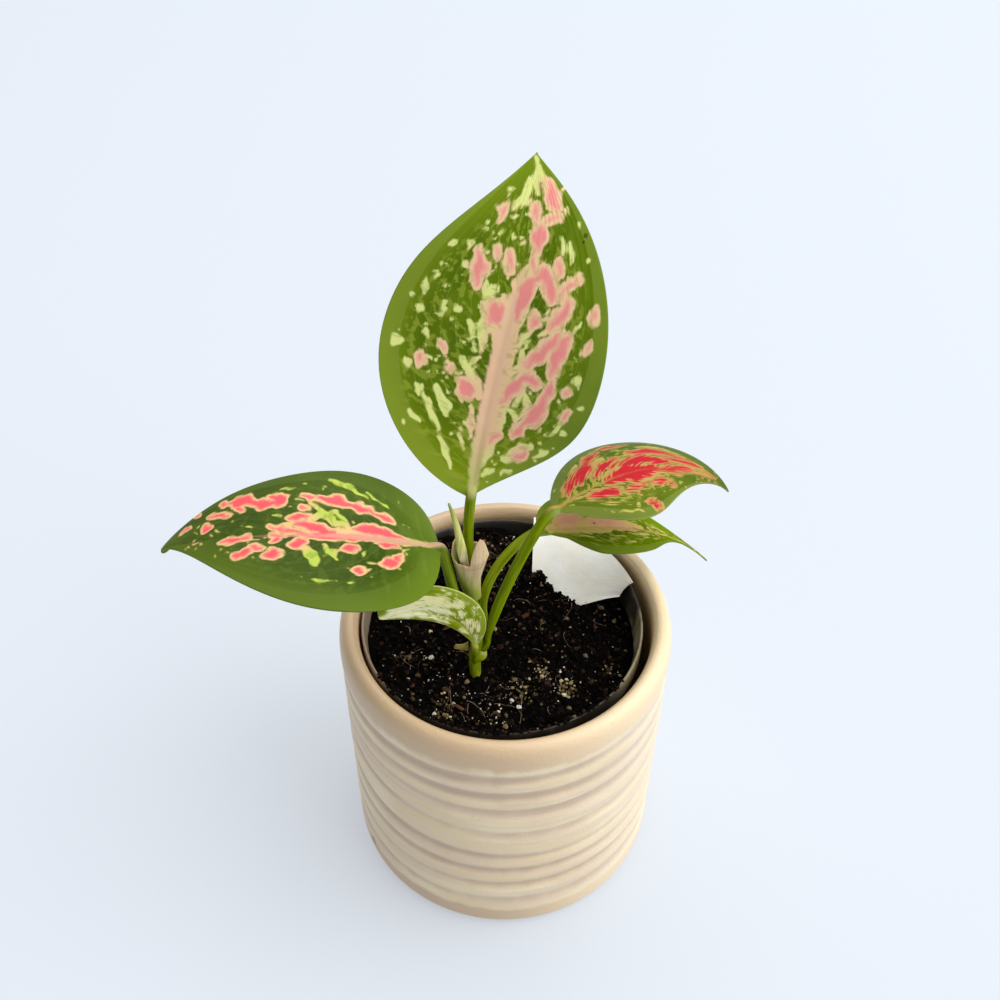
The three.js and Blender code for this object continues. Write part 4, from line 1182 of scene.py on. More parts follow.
LEFT_CREAM = [
    [1.3, (0.56, -0.1), (0.46, -0.22), (0.36, -0.34)],
    [1.0, (0.46, -0.5), (0.38, -0.3), (0.32, -0.1)],
    [1.6, (0.46, 0.14), (0.42, 0.3), (0.4, 0.44)],
    [0.8, (0.4, -0.84), (0.32, -0.74), (0.26, -0.62)],
    [2.0, (0.36, -0.06), (0.26, -0.05), (0.16, -0.02), (0.06, 0.0)],
    [1.2, (0.42, -0.3), (0.36, -0.2), (0.3, -0.12)],
    [1.0, (0.3, -0.02), (0.2, 0.02), (0.1, 0.0), (0.02, 0.0)],
    [0.7, (0.37, -0.35), (0.335, -0.27), (0.31, -0.15)],
    [0.6, (0.37, -0.16), (0.33, -0.13)],
    [0.4, (0.57, -0.74), (0.51, -0.75)],
    [0.35, (0.49, -0.8), (0.48, -0.79)],
    [0.6, (0.33, -0.79), (0.31, -0.77)],
    [0.55, (0.31, -0.7), (0.29, -0.68)],
    [0.5, (0.25, -0.68), (0.205, -0.6)],
    [0.6, (0.2, -0.58), (0.175, -0.52)],
    [0.45, (0.5, -0.56), (0.485, -0.52)],
    [0.5, (0.58, -0.32), (0.54, -0.3)],
    [0.45, (0.66, -0.18), (0.64, -0.15)],
    [0.4, (0.78, -0.2), (0.755, -0.16)],
    [0.55, (0.445, 0.28), (0.425, 0.27)],
    [1.0, (0.37, 0.24), (0.34, 0.22)],
    [0.8, (0.39, 0.14), (0.35, 0.28), (0.34, 0.33)],
    [0.7, (0.262, 0.28), (0.255, 0.2)],
    [0.5, (0.255, 0.47), (0.24, 0.46)],
    [0.5, (0.147, 0.25), (0.13, 0.15), (0.115, 0.12)],
    [0.65, (0.4, 0.66), (0.36, 0.64)],
    [0.55, (0.3, 0.64), (0.285, 0.63)],
    [0.45, (0.25, 0.36), (0.22, 0.37)],
    [0.35, (0.85, 0.13), (0.83, 0.12)],
    [0.35, (0.66, 0.06), (0.6, 0.08)],
]
UPPER_PINK = [
    [1.6, (0.12, 0.26), (0.17, 0.4), (0.24, 0.56)],
    [2.3, (0.2, 0.32), (0.27, 0.46), (0.35, 0.62)],
    [1.6, (0.33, 0.64), (0.42, 0.76)],
    [2.0, (0.3, 0.22), (0.38, 0.32), (0.46, 0.4)],
    [4.2, (0.33, -0.02), (0.45, -0.04), (0.58, 0.0)],
    [3.0, (0.44, 0.2), (0.56, 0.26), (0.66, 0.16)],
    [2.0, (0.56, -0.06), (0.68, -0.06), (0.78, 0.06)],
    [1.9, (0.54, 0.5), (0.64, 0.52), (0.76, 0.42)],
    [1.4, (0.66, 0.28), (0.76, 0.28), (0.84, 0.34)],
    [1.0, (0.46, 0.84), (0.56, 0.8)],
    [1.9, (0.19, -0.26), (0.26, -0.3), (0.31, -0.36)],
    [1.5, (0.36, -0.4), (0.46, -0.42)],
    [1.2, (0.52, -0.4), (0.6, -0.44)],
    [1.1, (0.62, -0.56), (0.64, -0.62)],
    [2.0, (0.43, -0.84), (0.47, -0.88)],
    [0.4, (0.84, 0.25), (0.9, 0.2)],
]
UPPER_CREAM = [
    [2.21, (0.25, 0.4), (0.33, 0.5), (0.4, 0.55)],
    [2.08, (0.3, 0.1), (0.4, 0.15), (0.5, 0.1), (0.6, 0.1)],
    [2.34, (0.35, -0.15), (0.45, -0.25), (0.6, -0.2)],
    [1.56, (0.5, 0.45), (0.6, 0.45), (0.68, 0.4)],
    [1.3, (0.6, 0.7), (0.68, 0.7), (0.75, 0.6)],
    [1.3, (0.7, 0.2), (0.8, 0.3), (0.88, 0.25)],
    [1.04, (0.7, -0.15), (0.8, 0.0), (0.88, 0.1)],
    [1.17, (0.35, -0.4), (0.45, -0.45)],
    [0.91, (0.1, -0.1), (0.2, -0.15), (0.28, -0.12)],
    [0.52, (0.2, -0.55), (0.3, -0.65)],
    [0.45, (0.25, -0.8), (0.36, -0.85)],
    [0.65, (0.12, 0.25), (0.2, 0.3)],
    [0.91, (0.22, 0.66), (0.3, 0.74)],
]
LOWER_PINK = [
    [3.0, (0.12, 0.2), (0.24, 0.34)],
    [2.4, (0.28, 0.14), (0.38, 0.1), (0.46, 0.1)],
    [1.2, (0.42, -0.12), (0.5, -0.1)],
    [1.4, (0.08, 0.02), (0.18, -0.04)],
]
LOWER_CREAM = [
    [3.6, (0.08, -0.1), (0.2, -0.06), (0.34, 0.0)],
    [3.2, (0.04, 0.0), (0.14, 0.1), (0.25, 0.16)],
    [2.8, (0.14, -0.12), (0.26, -0.14), (0.42, -0.08)],
    [2.2, (0.35, 0.24), (0.45, 0.18), (0.56, 0.08)],
    [1.0, (0.14, -0.32), (0.2, -0.36)],
    [0.8, (0.3, -0.4), (0.36, -0.42)],
    [1.0, (0.42, -0.34), (0.48, -0.38), (0.55, -0.32)],
    [0.9, (0.55, -0.1), (0.65, -0.1), (0.72, 0.0)],
    [0.7, (0.6, 0.3), (0.7, 0.2)],
    [0.6, (0.3, -0.62), (0.36, -0.64)],
    [0.5, (0.46, -0.6), (0.5, -0.58)],
]
SMALL_CREAM = [
    [1.7, (0.97, 0.0), (0.84, -0.14), (0.72, -0.18)],
    [1.3, (0.9, 0.3), (0.78, 0.26), (0.64, 0.26)],
    [0.9, (0.26, 0.3), (0.18, 0.36)],
    [1.0, (0.34, -0.1), (0.22, -0.14), (0.14, -0.1)],
    [2.38, (0.9, -0.3), (0.8, -0.36), (0.7, -0.34)],
    [2.48, (0.7, -0.5), (0.6, -0.46), (0.52, -0.44)],
    [1.73, (0.5, -0.62), (0.44, -0.6)],
    [1.4, (0.72, -0.12), (0.6, -0.16), (0.46, -0.2)],
    [1.08, (0.42, -0.36), (0.36, -0.3)],
    [0.97, (0.3, -0.36), (0.26, -0.3)],
    [0.97, (0.26, -0.56), (0.2, -0.5), (0.16, -0.5)],
    [0.76, (0.14, -0.3), (0.1, -0.25)],
    [0.76, (0.7, 0.5), (0.55, 0.5), (0.4, 0.5)],
    [0.54, (0.36, -0.72), (0.33, -0.7)],
]

# %% Distances into the strokes
def flat_place(leaf, s, v):
    """Where (s, v) lies on the flattened blade, in mm: along the midrib and aside from it."""
    s, v = np.asarray(s, float), np.asarray(v, float)
    left = leaf["left"][0] * half_shape(leaf, s, True)
    right = leaf["right"][0] * half_shape(leaf, s, False)
    return np.stack([s * leaf["length"], v * np.where(v > 0, left, right)], -1)


def stroke_parts(leaf, strokes):
    """The straight parts of all strokes on the flattened blade: their ends and the half-widths at both ends.

    A stroke is full in its middle points and half as wide at its two ends.
    """
    starts, ends, widths = [], [], []
    for width, *line in strokes:
        line = np.array(line, float)
        if len(line) == 2:
            line = np.array([line[0], line.mean(0), line[1]])
        flat = flat_place(leaf, *line.T)
        half = np.full(len(flat), width)
        half[[0, -1]] = 0.5 * width
        starts.append(flat[:-1])
        ends.append(flat[1:])
        widths.append(np.stack([half[:-1], half[1:]], -1))
    return np.concatenate(starts), np.concatenate(ends), np.concatenate(widths)


NO_STROKE = -60.0  # mm, the depth far from every stroke


def depth_into(places, parts):
    """Half-width less the distance to the nearest part: above 0 inside a stroke, in mm."""
    best = np.full(len(places), NO_STROKE)
    for start, end, (first, last) in zip(*parts):
        line = end - start
        t = np.clip((places - start) @ line / max(line @ line, 1e-9), 0, 1)
        away = np.linalg.norm(places - start - t[:, None] * line, axis=1)
        best = np.maximum(best, lerp(first, last, t) - away)
    return best


def flecks(leaf, count, seed, sizes, where):
    """Seeded small strokes, each a short way along its side vein; where gives the chance of one at (s, v)."""
    random = np.random.default_rng(seed)
    s = random.uniform(0.04, 0.94, count * 4)
    v = random.uniform(-0.92, 0.92, count * 4)
    keep = random.uniform(0, 1, count * 4) < where(s, v)
    s, v = s[keep][:count], v[keep][:count]
    width = random.uniform(*sizes, len(s))
    start = vein_start(s, np.abs(v))
    far = s + width * random.uniform(0.2, 1.7, len(s)) / leaf["length"]
    moved = np.sign(v) * (np.abs(v) + vein_side(far, start) - vein_side(s, start))
    return [[w, (a, b), (c, d)] for w, a, b, c, d in zip(width, s, v, far, moved)]


WANDER = [(0.4, 4.4, 51), (0.07, 1.5, 53)]  # how strokes bend: shift and length in mm, first of two seeds


def leaf_piece(name, leaf, pink, cream, rib):
    """A leaf with the shares place (along, aside, edge), flow (vein, run, face), marks (cream, pink, rib)."""
    rings, at = leaf_body(leaf)
    columns = leaf["grid"][1]
    top = np.stack([at["run"], at["aside"]], -1)[:, :columns]
    bent = top
    for shift, length, seed in WANDER:
        bent = bent + shift * np.stack([waves(top, length, seed), waves(top, length, seed + 1)], -1)
    flat = bent.reshape(-1, 2)
    none = np.full(len(flat), NO_STROKE)
    marks = [depth_into(flat, stroke_parts(leaf, one)) if one else none for one in (cream, pink)]
    rib_half = np.interp(at["s"][:, 0], *np.array(rib).T)[:, None]
    marks.append((rib_half - np.abs(top[..., 1])).ravel())
    marks = np.stack(marks, -1).reshape(len(rings), columns, 3)
    marks = np.concatenate([marks, marks[:, -2:0:-1]], 1)
    side = np.sign(at["v"])
    shares = {
        "place": np.stack([at["run"], at["aside"], at["edge"]], -1),
        "flow": np.stack([at["start"] * leaf["veins"], at["run"] + 300 * side, at["face"]], -1),
        "marks": marks.clip(-12, 12),
    }
    return ring_piece(name, rings, shares)


# %% [markdown]
# The leaves' finish
#
# The finish starts from green, lighter towards the base, and lays over it in turn: the side veins, a mottle
# of paler green, the margin's line, cream, pink, the midrib, small scars, the paler underside and last the
# stalk. Pink comes in two steps, so that it is pale at its rim and full in its core. The edges are
# roughened by a noise that is stretched along the side veins, as the real colour runs in streaks between
# them. The gloss is waxy and soft.

# %% One finish for a leaf
def leaf_finish(name, paints, roughness, spots=()):
    """Green, mottle, cream, pink, midrib, scars, underside and stalk, mixed by the leaf's shares, in mm.

    spots are small dark scars, each (along, aside, radius).
    """
    leaf = Finish(name, Roughness=roughness, Specular_IOR_Level=paints["gloss"])
    leaf.shader.inputs["Subsurface Weight"].default_value = 0.08
    leaf.shader.inputs["Subsurface Scale"].default_value = 0.0008
    leaf.shader.inputs["Subsurface Radius"].default_value = (0.6, 1.0, 0.3)
    place = leaf.share("place")
    along, aside, edge = leaf.split(place)
    vein, run, face = leaf.split(leaf.share("flow"))
    cream, pink, rib = leaf.split(leaf.share("marks"))
    streaks = leaf.noise(leaf.join(vein * 2.6, run * 0.16, face * 3), 1.0, 3.0, 0.6)
    fine = leaf.noise(leaf.join(vein * 9.0, run * 0.9, face * 3), 1.0, 3.0, 0.65)
    blots = leaf.noise(leaf.join(vein * 1.6, run * 0.42, face * 3), 1.0, 2.0, 0.5)
    threads = leaf.noise(leaf.join(vein * 5.5, run * 0.1, face * 3), 1.0, 2.0, 0.5)
    fibres = leaf.noise(leaf.join(aside * 1.1, run * 0.06, face * 3), 1.0, 2.0)
    pink = pink - threads.fade(0.46, 0.62) * paints["split"]
    cream = cream - threads.fade(0.5, 0.64) * paints["split"] * 0.7
    rough = ((streaks - 0.5) * 4 + (fine - 0.5) * 1.5) * paints["ragged"]
    cloud = leaf.noise(place, 0.07, 2.0)
    # The outer colour along the margins, kept off the right half, is in part painted sheen: on the upright
    # leaf its paler band stands for the sheen on the left margin.
    inner = edge.fade(0.0, 13.0).most(aside.fade(0.0, -9.0) * 0.85)
    green = leaf.mix((cloud + fine * 0.15).fade(0.4, 0.75), paints["deep"], paints["green"])
    green = leaf.mix(inner, paints["outer"], green)
    green = leaf.mix(along.fade(paints["base_run"], 0.0) * 0.75, green, paints["base"])
    line = abs((vein + 0.5).wrapped() - 0.5)
    green = leaf.mix(line.fade(0.05, 0.015) * 0.25, green, paints["vein"])
    green = leaf.mix(blots.fade(0.5, 0.6) * edge.fade(4.0, 8.0) * paints["mottled"], green, paints["mottle"])
    green = leaf.mix(edge.fade(0.45, 0.1) * 0.6, green, paints["margin"])
    creamy = (cream + rough).most(pink + rough * 0.7 + paints["border"])
    near_pink = (pink + rough).fade(-2.8, -0.3).most(rib.fade(-5.0, -1.0) * along.fade(8.0, 22.0))
    cream_tone = leaf.mix(near_pink, paints["fleck"], paints["cream"])
    cream_tone = leaf.mix(blots.fade(0.52, 0.62) * 0.3, cream_tone, green)
    tone = leaf.mix(creamy.fade(-0.35, 0.3), green, cream_tone)
    full = (pink + rough * 0.7 + (fine - 0.5) * 1.2).fade(0.0, paints["core"])
    blush = leaf.mix(full, paints["blush"], paints["pink"])
    tone = leaf.mix((pink + rough * 0.7).fade(-0.25, 0.25), tone, blush)
    rib_tone = leaf.mix(along.fade(3.0, 26.0), paints["rib_base"], paints["rib"])
    tone = leaf.mix((rib + (streaks - 0.5) * 2.5).fade(-0.6, 0.45), tone, rib_tone)
    for spot_along, spot_aside, radius in spots:
        across = abs(along - spot_along).most(abs(aside - spot_aside))
        tone = leaf.mix(across.fade(radius, radius * 0.5) * 0.75, tone, "#3a3220")
    under = leaf.mix(0.62, tone, paints["under"])
    tone = leaf.mix(face.fade(0.3, -0.3), tone, under)
    stalk = leaf.mix(fibres.fade(0.38, 0.62), paints["stalk"], paints["stalk_light"])
    tone = leaf.mix(along.fade(paints["rib_from"], paints["rib_from"] - 4), tone, stalk)
    leaf.feed("Base Color", tone)
    leaf.feed("Roughness", roughness - 0.06 + cloud * 0.12 + face.fade(0.3, -0.3) * 0.15)
    grain = leaf.noise(place, 2.2, 2.0)
    leaf.bump(grain * 0.35 + fine * 0.25 + line.fade(0.09, 0.0) * -0.3, 0.06)
    return leaf.material


# %% [markdown]
# The five leaves
#
# Each leaf gets its own strokes, flecks and palette: the upright one is pale and freckled, the left one deep
# green with bold coral splashes, the upper right one nearly all crimson, the lower right one faded, and the
# youngest one cream.

# %% The upright leaf
LEAVES["upright"].update(veins=13, quilt=1.0, wave=0.22)
leaf = LEAVES["upright"]
upright_flecks = flecks(
    leaf, 210, 61, (0.28, 0.68),
    lambda s, v: 0.75 * np.exp(-(((s - 0.5) / 0.36) ** 2)) * np.exp(-(((v - 0.35) / 0.42) ** 2))
    + 0.2 * (v < 0.6),
)
RIB_UPRIGHT = [
    (0, 0.8), (0.05, 1.2), (0.2, 1.7), (0.35, 2.0), (0.5, 1.8), (0.62, 0.7), (0.72, -1.5), (1, -6),
]
upright_leaf = leaf_piece("upright_leaf", leaf, UPRIGHT_PINK, UPRIGHT_CREAM + upright_flecks, RIB_UPRIGHT)
# The outer colour here, paler than the green, is painted sheen along the left margin.
UPRIGHT_PAINTS = {
    "deep": "#557004", "green": "#68820c", "outer": "#7a9216", "base": "#8ca20c", "base_run": 30.0,
    "vein": "#a6b850", "mottle": "#a6b440", "mottled": 0.5, "margin": "#5c741c",
    "ragged": 0.28, "border": 0.8,
    "fleck": "#eaf294", "cream": "#fad4a4", "core": 1.0, "blush": "#fdc2a2", "pink": "#fd9c96", "split": 0.2,
    "rib": "#fad0aa", "rib_base": "#c8c67c", "rib_from": 3.0, "stalk": "#5c7000", "stalk_light": "#788a02",
    "under": "#9db36a", "gloss": 0.07,
}
upright_spots = [(*flat_place(leaf, 0.815, -0.91), 0.6), (*flat_place(leaf, 0.8, -0.84), 0.4)]
upright_finish = leaf_finish("leaf_green_freckled", UPRIGHT_PAINTS, 0.42, upright_spots)
finish_piece(upright_leaf, upright_finish, "leaf_bright", "leaf_upright")

# %% The left leaf
LEAVES["left"].update(veins=11, quilt=0.8, wave=0.2)
leaf = LEAVES["left"]
left_flecks = flecks(
    leaf, 70, 62, (0.18, 0.38), lambda s, v: 0.4 * np.exp(-((v / 0.6) ** 2)) * (s > 0.1) * (s < 0.9)
)
RIB_LEFT = [(0, 0.7), (0.1, 0.9), (0.25, 0.9), (0.4, 0.4), (0.55, 0.0), (0.7, -0.4), (1, -1)]
left_leaf = leaf_piece("left_leaf", leaf, LEFT_PINK, LEFT_CREAM + left_flecks, RIB_LEFT)
LEFT_PAINTS = {
    "deep": "#354a05", "green": "#405507", "outer": "#54690c", "base": "#5f780a", "base_run": 18.0,
    "vein": "#637a2a", "mottle": "#87a040", "mottled": 0.1, "margin": "#52691c",
    "ragged": 0.15, "border": 0.6,
    "fleck": "#b4c650", "cream": "#e2ba80", "core": 0.8, "blush": "#f29080", "pink": "#f05a60", "split": 0.1,
    "rib": "#dc9484", "rib_base": "#c8a480", "rib_from": 1.0, "stalk": "#566a00", "stalk_light": "#6e8204",
    "under": "#8fa85f", "gloss": 0.14,
}
finish_piece(left_leaf, leaf_finish("leaf_green_coral", LEFT_PAINTS, 0.4), "leaf_dark", "leaf_left")

# %% The two right leaves
LEAVES["upper_right"].update(veins=12, quilt=0.9, wave=0.2)
leaf = LEAVES["upper_right"]
upper_flecks = flecks(leaf, 90, 63, (0.16, 0.4), lambda s, v: 0.5 * np.exp(-(((v + 0.65) / 0.3) ** 2)) + 0.1)
RIB_UPPER = [(0, 0.5), (0.1, 0.6), (0.25, 0.25), (0.4, -0.1), (1, -0.5)]
upper_right_leaf = leaf_piece("upper_right_leaf", leaf, UPPER_PINK, UPPER_CREAM + upper_flecks, RIB_UPPER)
UPPER_PAINTS = {
    "deep": "#465608", "green": "#5a6a0c", "outer": "#4a5c12", "base": "#64760e", "base_run": 12.0,
    "vein": "#8c9650", "mottle": "#9c9840", "mottled": 0.85, "margin": "#84904a",
    "ragged": 0.7, "border": 0.9,
    "fleck": "#b0aa54", "cream": "#b08850", "core": 0.6, "blush": "#b85044", "pink": "#b4222c", "split": 1.2,
    "rib": "#a48a46", "rib_base": "#a48a46", "rib_from": 1.0, "stalk": "#5a6e00", "stalk_light": "#768804",
    "under": "#97a866", "gloss": 0.05,
}
upper_finish = leaf_finish("leaf_crimson", UPPER_PAINTS, 0.42)
finish_piece(upper_right_leaf, upper_finish, "leaf_crimson", "leaf_right_upper")

LEAVES["lower_right"].update(veins=11, quilt=0.9, wave=0.25)
leaf = LEAVES["lower_right"]
lower_flecks = flecks(leaf, 90, 64, (0.2, 0.5), lambda s, v: 0.4 * np.exp(-(((v + 0.3) / 0.5) ** 2)))
RIB_LOWER = [(0, 0.4), (0.2, 0.3), (0.5, 0.1), (0.8, 0.2), (1, -0.5)]
lower_right_leaf = leaf_piece("lower_right_leaf", leaf, LOWER_PINK, LOWER_CREAM + lower_flecks, RIB_LOWER)
LOWER_PAINTS = {
    "deep": "#4c6200", "green": "#607a00", "outer": "#647e02", "base": "#96922e", "base_run": 10.0,
    "vein": "#8f9a48", "mottle": "#9ca244", "mottled": 0.85, "margin": "#4e6612",
    "ragged": 0.8, "border": 1.0,
    "fleck": "#c4be68", "cream": "#ceaa6e", "core": 2.2, "blush": "#d4a47e", "pink": "#d49a7e", "split": 0.6,
    "rib": "#b8a85c", "rib_base": "#b8a85c", "rib_from": 1.0, "stalk": "#728406", "stalk_light": "#92a02a",
    "under": "#93a35c", "gloss": 0.0,
}
lower_spots = [(*flat_place(leaf, 0.3, 0.1), 0.5)]
lower_finish = leaf_finish("leaf_muted", LOWER_PAINTS, 0.45, lower_spots)
finish_piece(lower_right_leaf, lower_finish, "leaf_muted", "leaf_right_lower")

# %% The small leaf
LEAVES["small"].update(veins=9, quilt=0.6, wave=0.12)
leaf = LEAVES["small"]
small_flecks = flecks(leaf, 60, 65, (0.2, 0.5), lambda s, v: 0.6 * (s < 0.8) * (v < 0.3) + 0.1)
RIB_SMALL = [(0, 0.3), (0.3, 0.1), (0.6, -0.2), (1, -0.5)]
small_leaf = leaf_piece("small_leaf", leaf, [], SMALL_CREAM + small_flecks, RIB_SMALL)
SMALL_PAINTS = {
    "deep": "#667a02", "green": "#7e920e", "outer": "#748804", "base": "#708202", "base_run": 8.0,
    "vein": "#a9b158", "mottle": "#d0d084", "mottled": 0.9, "margin": "#c2c678",
    "ragged": 0.7, "border": 0.4,
    "fleck": "#dcdaa0", "cream": "#e2e0b6", "core": 0.8, "blush": "#e8b0a0", "pink": "#e8b0a0", "split": 0.8,
    "rib": "#b0b65c", "rib_base": "#98a43c", "rib_from": 1.0, "stalk": "#5a6e00", "stalk_light": "#768804",
    "under": "#a5b068", "gloss": 0.05,
}
finish_piece(small_leaf, leaf_finish("leaf_cream", SMALL_PAINTS, 0.45), "leaf_cream", "leaf_small")

# %% [markdown]
# Stem, sheath, spear and scale
#
# The stem is a short tube with the rings that old leaves leave, and a green bud with a painted highlight
# on its upper right. The papery sheath is a funnel with a slit at its back, whose edge rises in a tongue at
# the front right and a low wing at the back left. The next leaf stands in it as a tight roll, whose free edge
# winds once round it as a seam.

# %% The stem and its bud
STEM_LINE = [
    [-8.7, -16.7, 76], [-8.7, -16.6, 88], [-8.9, -15.5, 95], [-8.1, -15, 101.5], [-8.2, -14.8, 107],
    [-8.4, -14.4, 115.8],
]
STEM_RADII = [1.5, 1.6, 1.8, 1.9, 1.7, 1.3]
SCARS = [0.42, 0.55, 0.66, 0.82]
BUD = {"at": (-7.2, -16.1, 96.8), "radius": 1.8, "height": 2.5, "tilt": 0.3}

stem_share = np.linspace(0, 1, 120)
stem_centres = curve_through(STEM_LINE, stem_share)
stem_radii = np.interp(stem_share * (len(STEM_RADII) - 1), range(len(STEM_RADII)), STEM_RADII)
for scar in SCARS:
    stem_radii = stem_radii + 0.14 * np.exp(-(((stem_share - scar) / 0.008) ** 2))
around = 44
stem_angle = np.linspace(0, 2 * np.pi, around, endpoint=False)[None, :]
stem_sides = stem_radii[:, None] * (1 + 0.03 * np.sin(3 * stem_angle + 9 * stem_share[:, None]))
stem_rings = tube_rings(stem_centres, stem_sides, around)
stem_piece = ring_piece("green_stem", stem_rings)

polar = np.linspace(0.02, np.pi - 0.02, 34)[:, None]
bud_angle = np.linspace(0, 2 * np.pi, 40, endpoint=False)[None, :]
bulge = 1 + 0.1 * np.sin(bud_angle * 2 + 1) * np.sin(polar) + 0.08 * np.cos(polar * 3)
bud_x = BUD["radius"] * np.sin(polar) * np.cos(bud_angle) * bulge
bud_y = BUD["radius"] * np.sin(polar) * np.sin(bud_angle) * bulge
bud_z = BUD["height"] * np.cos(polar) + 0 * bud_angle
cos, sin = np.cos(BUD["tilt"]), np.sin(BUD["tilt"])
bud_rings = np.stack([bud_x * cos + bud_z * sin, bud_y, bud_z * cos - bud_x * sin], -1) + BUD["at"]
bud_piece = ring_piece("green_bud", bud_rings)

# %% The sheath
SHEATH = {
    "foot": (-9.2, -13.6, 119.5), "bend": (-10.2, -13.25, 127.0), "head": (-9.7, -13.3, 136.5),
    "narrow": 2.2,
    "wide": 4.9, "spread": 1.35, "inward": 0.12, "edge": 135.4, "slit": 6.0,
    "tongue": (-50, 40, 8.6), "wing": (145, 52, 4.2),
}


def edge_bump(angle, middle, half, height):
    """height (1 - away^2)^0.75, away the angle from the middle as a share of half; 0 beyond that."""
    away = ((angle - middle + 540) % 360 - 180) / half
    return height * np.maximum(0, 1 - away**2) ** 0.75


h = np.linspace(0, 1, 90)[:, None]
c = np.linspace(0, 1, 150)[None, :]
sheath_angle = lerp(90 + SHEATH["slit"], 450 - SHEATH["slit"], c)
ragged_edge = 0.12 * np.sin(c * 61) + 0.1 * np.sin(c * 143 + 1)
tongue_bump = edge_bump(sheath_angle, *SHEATH["tongue"])
edge_z = SHEATH["edge"] + tongue_bump + edge_bump(sheath_angle, *SHEATH["wing"])
sheath_z = lerp(SHEATH["foot"][2], edge_z + ragged_edge, h)
sheath_heights = [SHEATH[key][2] for key in ("foot", "bend", "head")]
sheath_x, sheath_y = (
    np.interp(sheath_z, sheath_heights, [SHEATH[key][k] for key in ("foot", "bend", "head")]) for k in (0, 1)
)
risen = (sheath_z - SHEATH["foot"][2]) / (SHEATH["head"][2] - SHEATH["foot"][2])
sheath_r = lerp(SHEATH["narrow"], SHEATH["wide"], np.minimum(1, risen) ** SHEATH["spread"])
sheath_r = sheath_r - SHEATH["inward"] * np.maximum(0, sheath_z - SHEATH["head"][2])
sheath_r = sheath_r + 0.06 * h * np.sin(c * 70) + 0.12 * h**2 * np.sin(c * 19 + 2)
sheath_turn = np.radians(sheath_angle)
sheath_grid = np.stack(
    [sheath_x + sheath_r * np.cos(sheath_turn), sheath_y + sheath_r * np.sin(sheath_turn), sheath_z], -1
)
sheath_place = {"place": np.stack([sheath_z - SHEATH["foot"][2], c * 24 + 0 * h, h * (1 + 0 * c)], -1)}
papery_sheath = sheet_piece("papery_sheath", sheath_grid, 0.35, sheath_place)

# %% The rolled new leaf and the dry scale
SPEAR_LINE = [
    [-11, -15.2, 129.6], [-11.2, -15.2, 133.5], [-11.9, -15.3, 139.5], [-12.7, -14.9, 145],
    [-13.8, -14.3, 150.3], [-15, -13.8, 154.6],
]
SPEAR_RADII = [0.7, 1.2, 1.45, 1.1, 0.7, 0.35]
SPEAR_AROUND = 56
spear_share = np.linspace(0, 1, 110)
spear_radii = np.interp(spear_share * (len(SPEAR_RADII) - 1), range(len(SPEAR_RADII)), SPEAR_RADII)
spear_angle = np.linspace(0, 2 * np.pi, SPEAR_AROUND, endpoint=False)[None, :]
wound = ((spear_angle - 1.9 * np.pi * spear_share[:, None] + 0.6) / (2 * np.pi)) % 1.0
seam = 1 - 0.16 * smooth_step(wound, 0.0, 0.06) + 0.16 * wound
spear_line = curve_through(SPEAR_LINE, spear_share)
spear_rings = tube_rings(spear_line, spear_radii[:, None] * seam * 0.97, SPEAR_AROUND)
spear_place = np.stack([np.repeat(spear_share[:, None], SPEAR_AROUND, 1), wound, 0 * wound], -1)
rolled_spear = ring_piece("rolled_spear", spear_rings, {"place": spear_place})

SCALE = {"at": (-10.7, -16.3, 100.4), "length": 3.4, "height": 3.8}
out = np.linspace(0, 1, 30)[:, None]
rise = (np.linspace(0, 1, 34)[None, :] - 0.5) * (1 - 0.6 * out)
torn = out * (1 + 0.12 * np.sin(rise * 31) + 0.08 * np.sin(rise * 67))
scale_y = SCALE["at"][1] - 0.9 * np.sin(2.2 * out) + 1.2 * rise**2 + 0.12 * np.sin(rise * 9) * out
scale_z = SCALE["at"][2] + SCALE["height"] * rise + 1.1 * out
scale_grid = np.stack([SCALE["at"][0] - SCALE["length"] * torn, scale_y, scale_z], -1)
dry_scrap = sheet_piece("dry_scrap", scale_grid, 0.28)

# %% Their finishes
sap = Finish("stem_green", Roughness=0.4, Specular_IOR_Level=0.4)
sap.shader.inputs["Subsurface Weight"].default_value = 0.15
sap.shader.inputs["Subsurface Scale"].default_value = 0.001
mm_place = sap.place()
_, _, z = sap.split(mm_place)
lengthwise = sap.noise(sap.stretched(mm_place, 1, 1, 0.12), 1.1, 3.0)
tone = sap.mix(lengthwise.fade(0.35, 0.65), "#687a02", "#83930e")
tone = sap.mix(z.fade(92.0, 87.0) * 0.4, tone, "#969c34")
sap.feed("Base Color", tone)
sap.bump(lengthwise, 0.08)
finish_piece(stem_piece, sap.material, "stem_green", "stem")
bud_finish = Finish("bud_green_painted_highlight", Roughness=0.35, Specular_IOR_Level=0.4)
bud_finish.shader.inputs["Subsurface Weight"].default_value = 0.3
bud_finish.shader.inputs["Subsurface Scale"].default_value = 0.0015
mm_place = bud_finish.place()
bud_tone = bud_finish.noise(mm_place, 0.9, 3.0)
bud_x, _, bud_up = bud_finish.split(mm_place)
# The bud is painted paler on its upper right: a painted highlight.
bud_painted_highlight = (bud_x + bud_up * 0.6 + (bud_tone - 0.5) * 3).fade(51.3, 53.2)
bud_finish.feed("Base Color", bud_finish.mix(bud_painted_highlight * 0.3, "#8b9a0c", "#cfd2a0"))
bud_finish.bump(bud_tone, 0.2)
finish_piece(bud_piece, bud_finish.material, "stem_green")

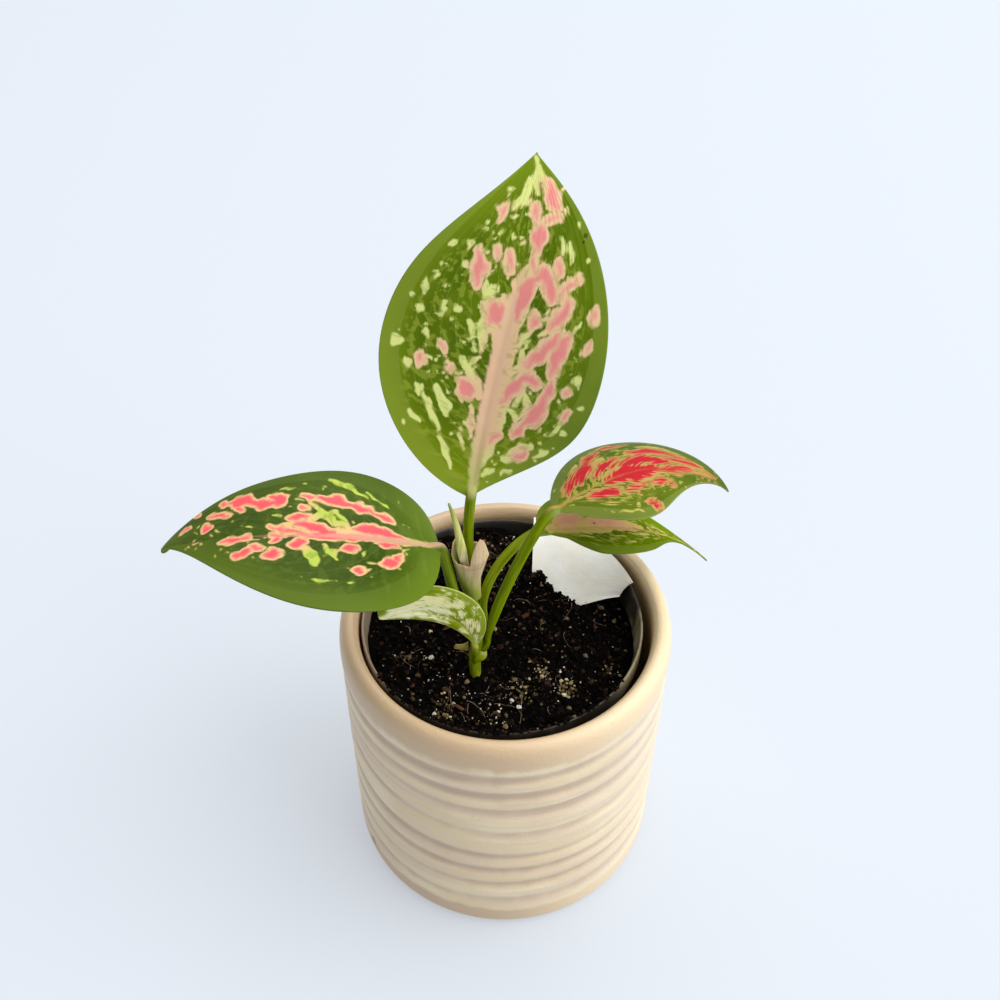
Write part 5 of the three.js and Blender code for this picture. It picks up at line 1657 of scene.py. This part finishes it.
papery = Finish("sheath_papery", Roughness=0.6, Specular_IOR_Level=0.3)
papery.shader.inputs["Subsurface Weight"].default_value = 0.2
papery.shader.inputs["Subsurface Scale"].default_value = 0.0012
place = papery.share("place")
climb, round_it, _ = papery.split(place)
ribs = papery.noise(papery.stretched(place, 0.12, 2.2, 1), 1.0, 3.0)
dots = papery.cells(place, 1.1).fade(0.16, 0.09) * climb.fade(14.0, 18.0)
tone = papery.mix(ribs.fade(0.3, 0.7), "#b39c74", "#c8b490")
diagonal = climb + (round_it - 11) * 1.1 + (ribs - 0.5) * 3
tone = papery.mix(diagonal.fade(17.0, 5.0) * 0.9, tone, "#7f8f14")
crease = abs(climb - 14.6 + (ribs - 0.5) * 2).fade(0.9, 0.1) * abs(round_it - 11).fade(5.0, 2.5)
tone = papery.mix(crease * 0.5, tone, "#a98a5c")
tone = papery.mix(dots * 0.6, tone, "#7a5a40")
papery.feed("Base Color", tone)
papery.bump(ribs, 0.12)
finish_piece(papery_sheath, papery.material, "sheath_papery", "sheath")

roll_finish = Finish("spear_pale", Roughness=0.42, Specular_IOR_Level=0.35)
roll_finish.shader.inputs["Subsurface Weight"].default_value = 0.2
roll_finish.shader.inputs["Subsurface Scale"].default_value = 0.001
place = roll_finish.share("place")
up_share, turn_share, _ = roll_finish.split(place)
threads = roll_finish.noise(roll_finish.stretched(place, 3, 26, 1), 1.0, 2.0)
tone = roll_finish.mix(threads.fade(0.35, 0.65), "#bcbe5c", "#d6d68c")
tone = roll_finish.mix(up_share.fade(0.5, 0.25) * 0.6, tone, "#ecd9b8")
tone = roll_finish.mix(up_share.fade(0.6, 0.95), tone, "#93a23e")
tone = roll_finish.mix(turn_share.fade(0.94, 1.0) * 0.6, tone, "#7f8a35")
roll_finish.feed("Base Color", tone)
roll_finish.bump(threads, 0.1)
finish_piece(rolled_spear, roll_finish.material, "spear_pale", "new_leaf_spear")

scrap = Finish("scale_dry", Roughness=0.8, Specular_IOR_Level=0.2)
mm_place = scrap.place()
scrap_tone = scrap.noise(scrap.stretched(mm_place, 0.3, 1, 2), 1.2, 4.0)
scrap.feed("Base Color", scrap.mix(scrap_tone.fade(0.35, 0.65), "#7c7030", "#a89a55"))
scrap.bump(scrap_tone, 0.3)
finish_piece(dry_scrap, scrap.material, "scale_dry", "dry_scale")
